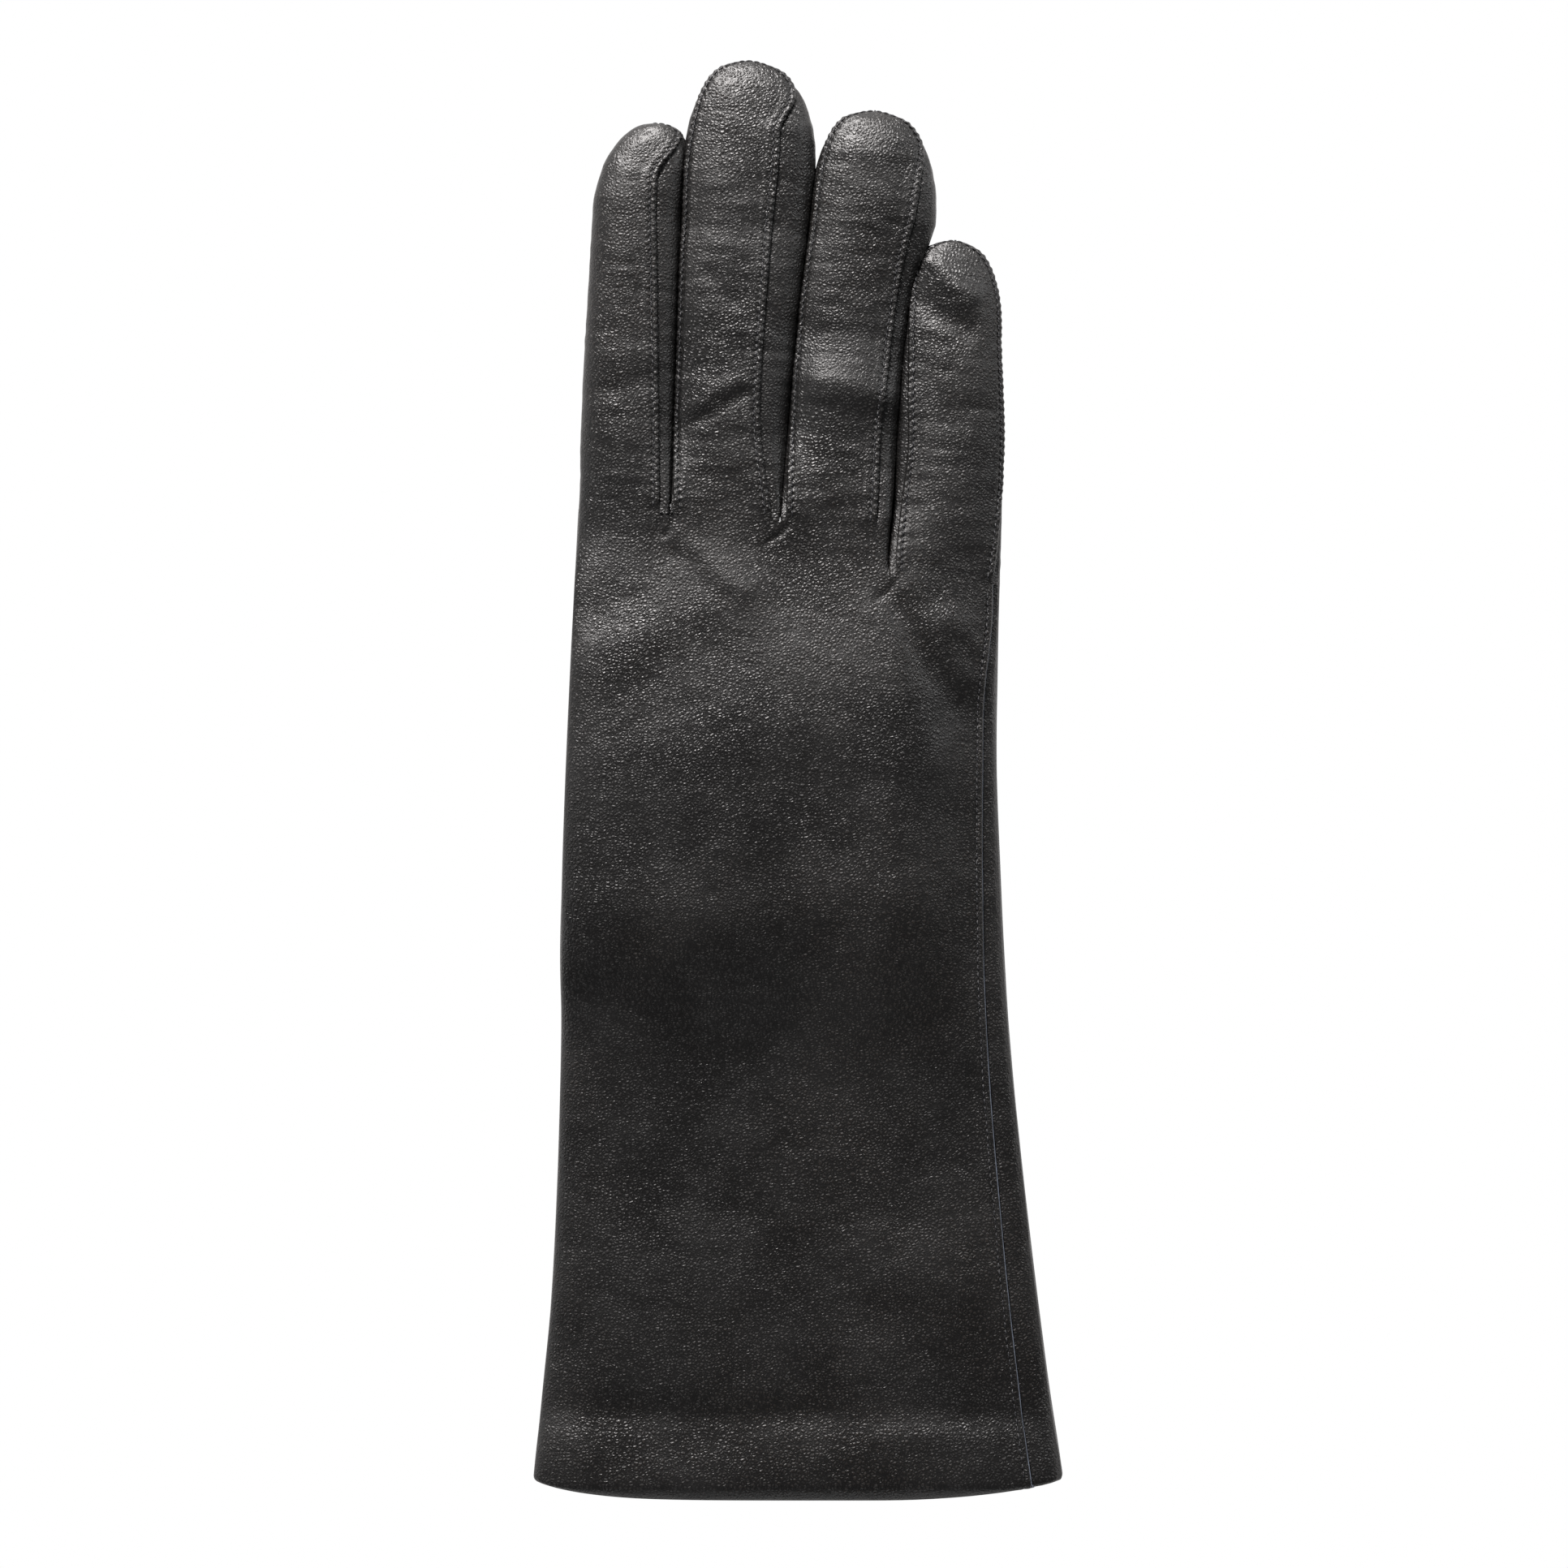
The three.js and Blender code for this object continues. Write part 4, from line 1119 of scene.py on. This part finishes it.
def build_pocket():
    """The round base of the thumb, sewn into the palm's hole."""
    turns = np.linspace(0, math.pi / 2, 9)
    rounded = [
        (POCKET_RADIUS - POCKET_ROUND * (1 - math.cos(t)), POCKET_ROUND * (1 - math.sin(t))) for t in turns
    ]
    top = LIFT + 0.2
    profile = [(POCKET_RADIUS + 1.6, top), (POCKET_RADIUS + 0.5, top - 0.1), (POCKET_RADIUS, top - 0.8)]
    profile += [(POCKET_RADIUS, top - 1.6)] + rounded + [(r, 0.0) for r in (9, 6, 3, 0.02)]
    r, z = np.array(profile).T
    angles = np.linspace(0, TURN, 97)[:-1]
    x = THUMB_PIVOT[0] + r[:, None] * np.cos(angles)
    y = THUMB_PIVOT[1] + r[:, None] * np.sin(angles)
    grid = np.stack([x, y, np.broadcast_to(z[:, None], x.shape)], -1)
    normals = ring_normals(grid)
    normals[-1] = (0, 0, -1)
    normals = normals * (-1 if normals[-2, 0, 2] > 0 else 1)
    crease = waves(x, y, POCKET_WAVE, 41) * smooth(z, 0.2, 2)[:, None]
    grid = grid + normals * crease[..., None]
    piece = sheet_mesh("thumb_base", grid, normals, FINGER_LEATHER, LEATHER_FINISH, wrap=True, pole=True)
    finish_piece(piece, ["thumb_pocket"], body="hand")
    ring = np.linspace(0, TURN, 97)
    radius = POCKET_RADIUS + 1.2
    path = np.stack([
        THUMB_PIVOT[0] + radius * np.cos(ring),
        THUMB_PIVOT[1] + radius * np.sin(ring),
        np.full(97, top - 0.12),
    ], -1)
    stitches = stitch_mesh("thumb_base_stitches", path, np.tile((0.0, 0.0, -1.0), (97, 1)), THREAD_FINISH)
    finish_piece(stitches, ["thumb_seam_thread"], body="hand")


# ---- Studio ----
FRAME_WIDTH = 316.2 * MM  # what the camera sees across the glove
AIM = (-2.9 * MM, -0.8 * MM, 5 * MM)
LENS = 85
SENSOR = 36
FLOOR_HALF = 1.5
FLOOR_GAP = 0.0005


def build_camera():
    camera = place_object("camera", bpy.data.cameras.new("camera"))
    camera.data.lens = LENS
    camera.data.sensor_width = SENSOR
    camera.location = Vector(AIM) + Vector((0, 0, FRAME_WIDTH * LENS / SENSOR))
    bpy.context.scene.camera = camera


def build_floor():
    """A pale floor that gives light back but is not seen itself."""
    mesh = bpy.data.meshes.new("floor")
    corners = ((-1, -1), (1, -1), (1, 1), (-1, 1))
    mesh.from_pydata([(x * FLOOR_HALF, y * FLOOR_HALF, -FLOOR_GAP) for x, y in corners], [], [(0, 1, 2, 3)])
    n = Nodes("pale_floor")
    n.shader.inputs["Base Color"].default_value = (0.8, 0.8, 0.8, 1)
    n.shader.inputs["Roughness"].default_value = 0.9
    mesh.materials.append(n.material)
    floor = place_object("floor", mesh)
    floor.visible_camera = False
    floor.visible_shadow = False


def softbox(name, place, size, power, color=(1, 1, 1)):
    """A rectangular light that faces the glove."""
    light = place_object(name, bpy.data.lights.new(name, "AREA"))
    light.data.shape = "RECTANGLE"
    light.data.size, light.data.size_y = size
    light.data.energy = power
    light.data.color = color
    light.location = place
    light.rotation_euler = (Vector((0, 0, 0)) - Vector(place)).to_track_quat("-Z", "Y").to_euler()


def build_world():
    """White behind the glove, and a weak cool light from all round on it."""
    world = bpy.data.worlds.new("studio")
    bpy.context.scene.world = world
    world.use_nodes = True
    tree = world.node_tree
    tree.nodes.clear()
    out = tree.nodes.new("ShaderNodeOutputWorld")
    mix = tree.nodes.new("ShaderNodeMixShader")
    seen = tree.nodes.new("ShaderNodeLightPath")
    for slot, color, strength in ((1, (0.95, 0.97, 1.0, 1), 0.08), (2, (1, 1, 1, 1), 1.0)):
        background = tree.nodes.new("ShaderNodeBackground")
        background.inputs["Color"].default_value = color
        background.inputs["Strength"].default_value = strength
        tree.links.new(background.outputs[0], mix.inputs[slot])
    tree.links.new(seen.outputs["Is Camera Ray"], mix.inputs[0])
    tree.links.new(mix.outputs[0], out.inputs["Surface"])


def build_studio():
    build_camera()
    build_floor()
    softbox("key", (-0.62, 2.05, 1.32), (0.8, 0.6), 160, (1.0, 0.965, 0.95))
    softbox("left_fill", (-1.2, -0.1, 0.4), (0.3, 0.9), 2)
    softbox("right_fill", (1.0, 0.75, 0.6), (0.35, 0.5), 6)
    softbox("front_fill", (0.1, -1.2, 0.4), (1.0, 0.3), 2)
    softbox("under_fill", (0.3, 0.4, -1.1), (1.2, 1.2), 9)
    build_world()
    bpy.context.scene.view_settings.view_transform = "Standard"


build_studio()
build_trank()
for finger in FINGERS:
    build_finger(finger)
build_lining()
build_hem()
build_thumb()
build_pocket()
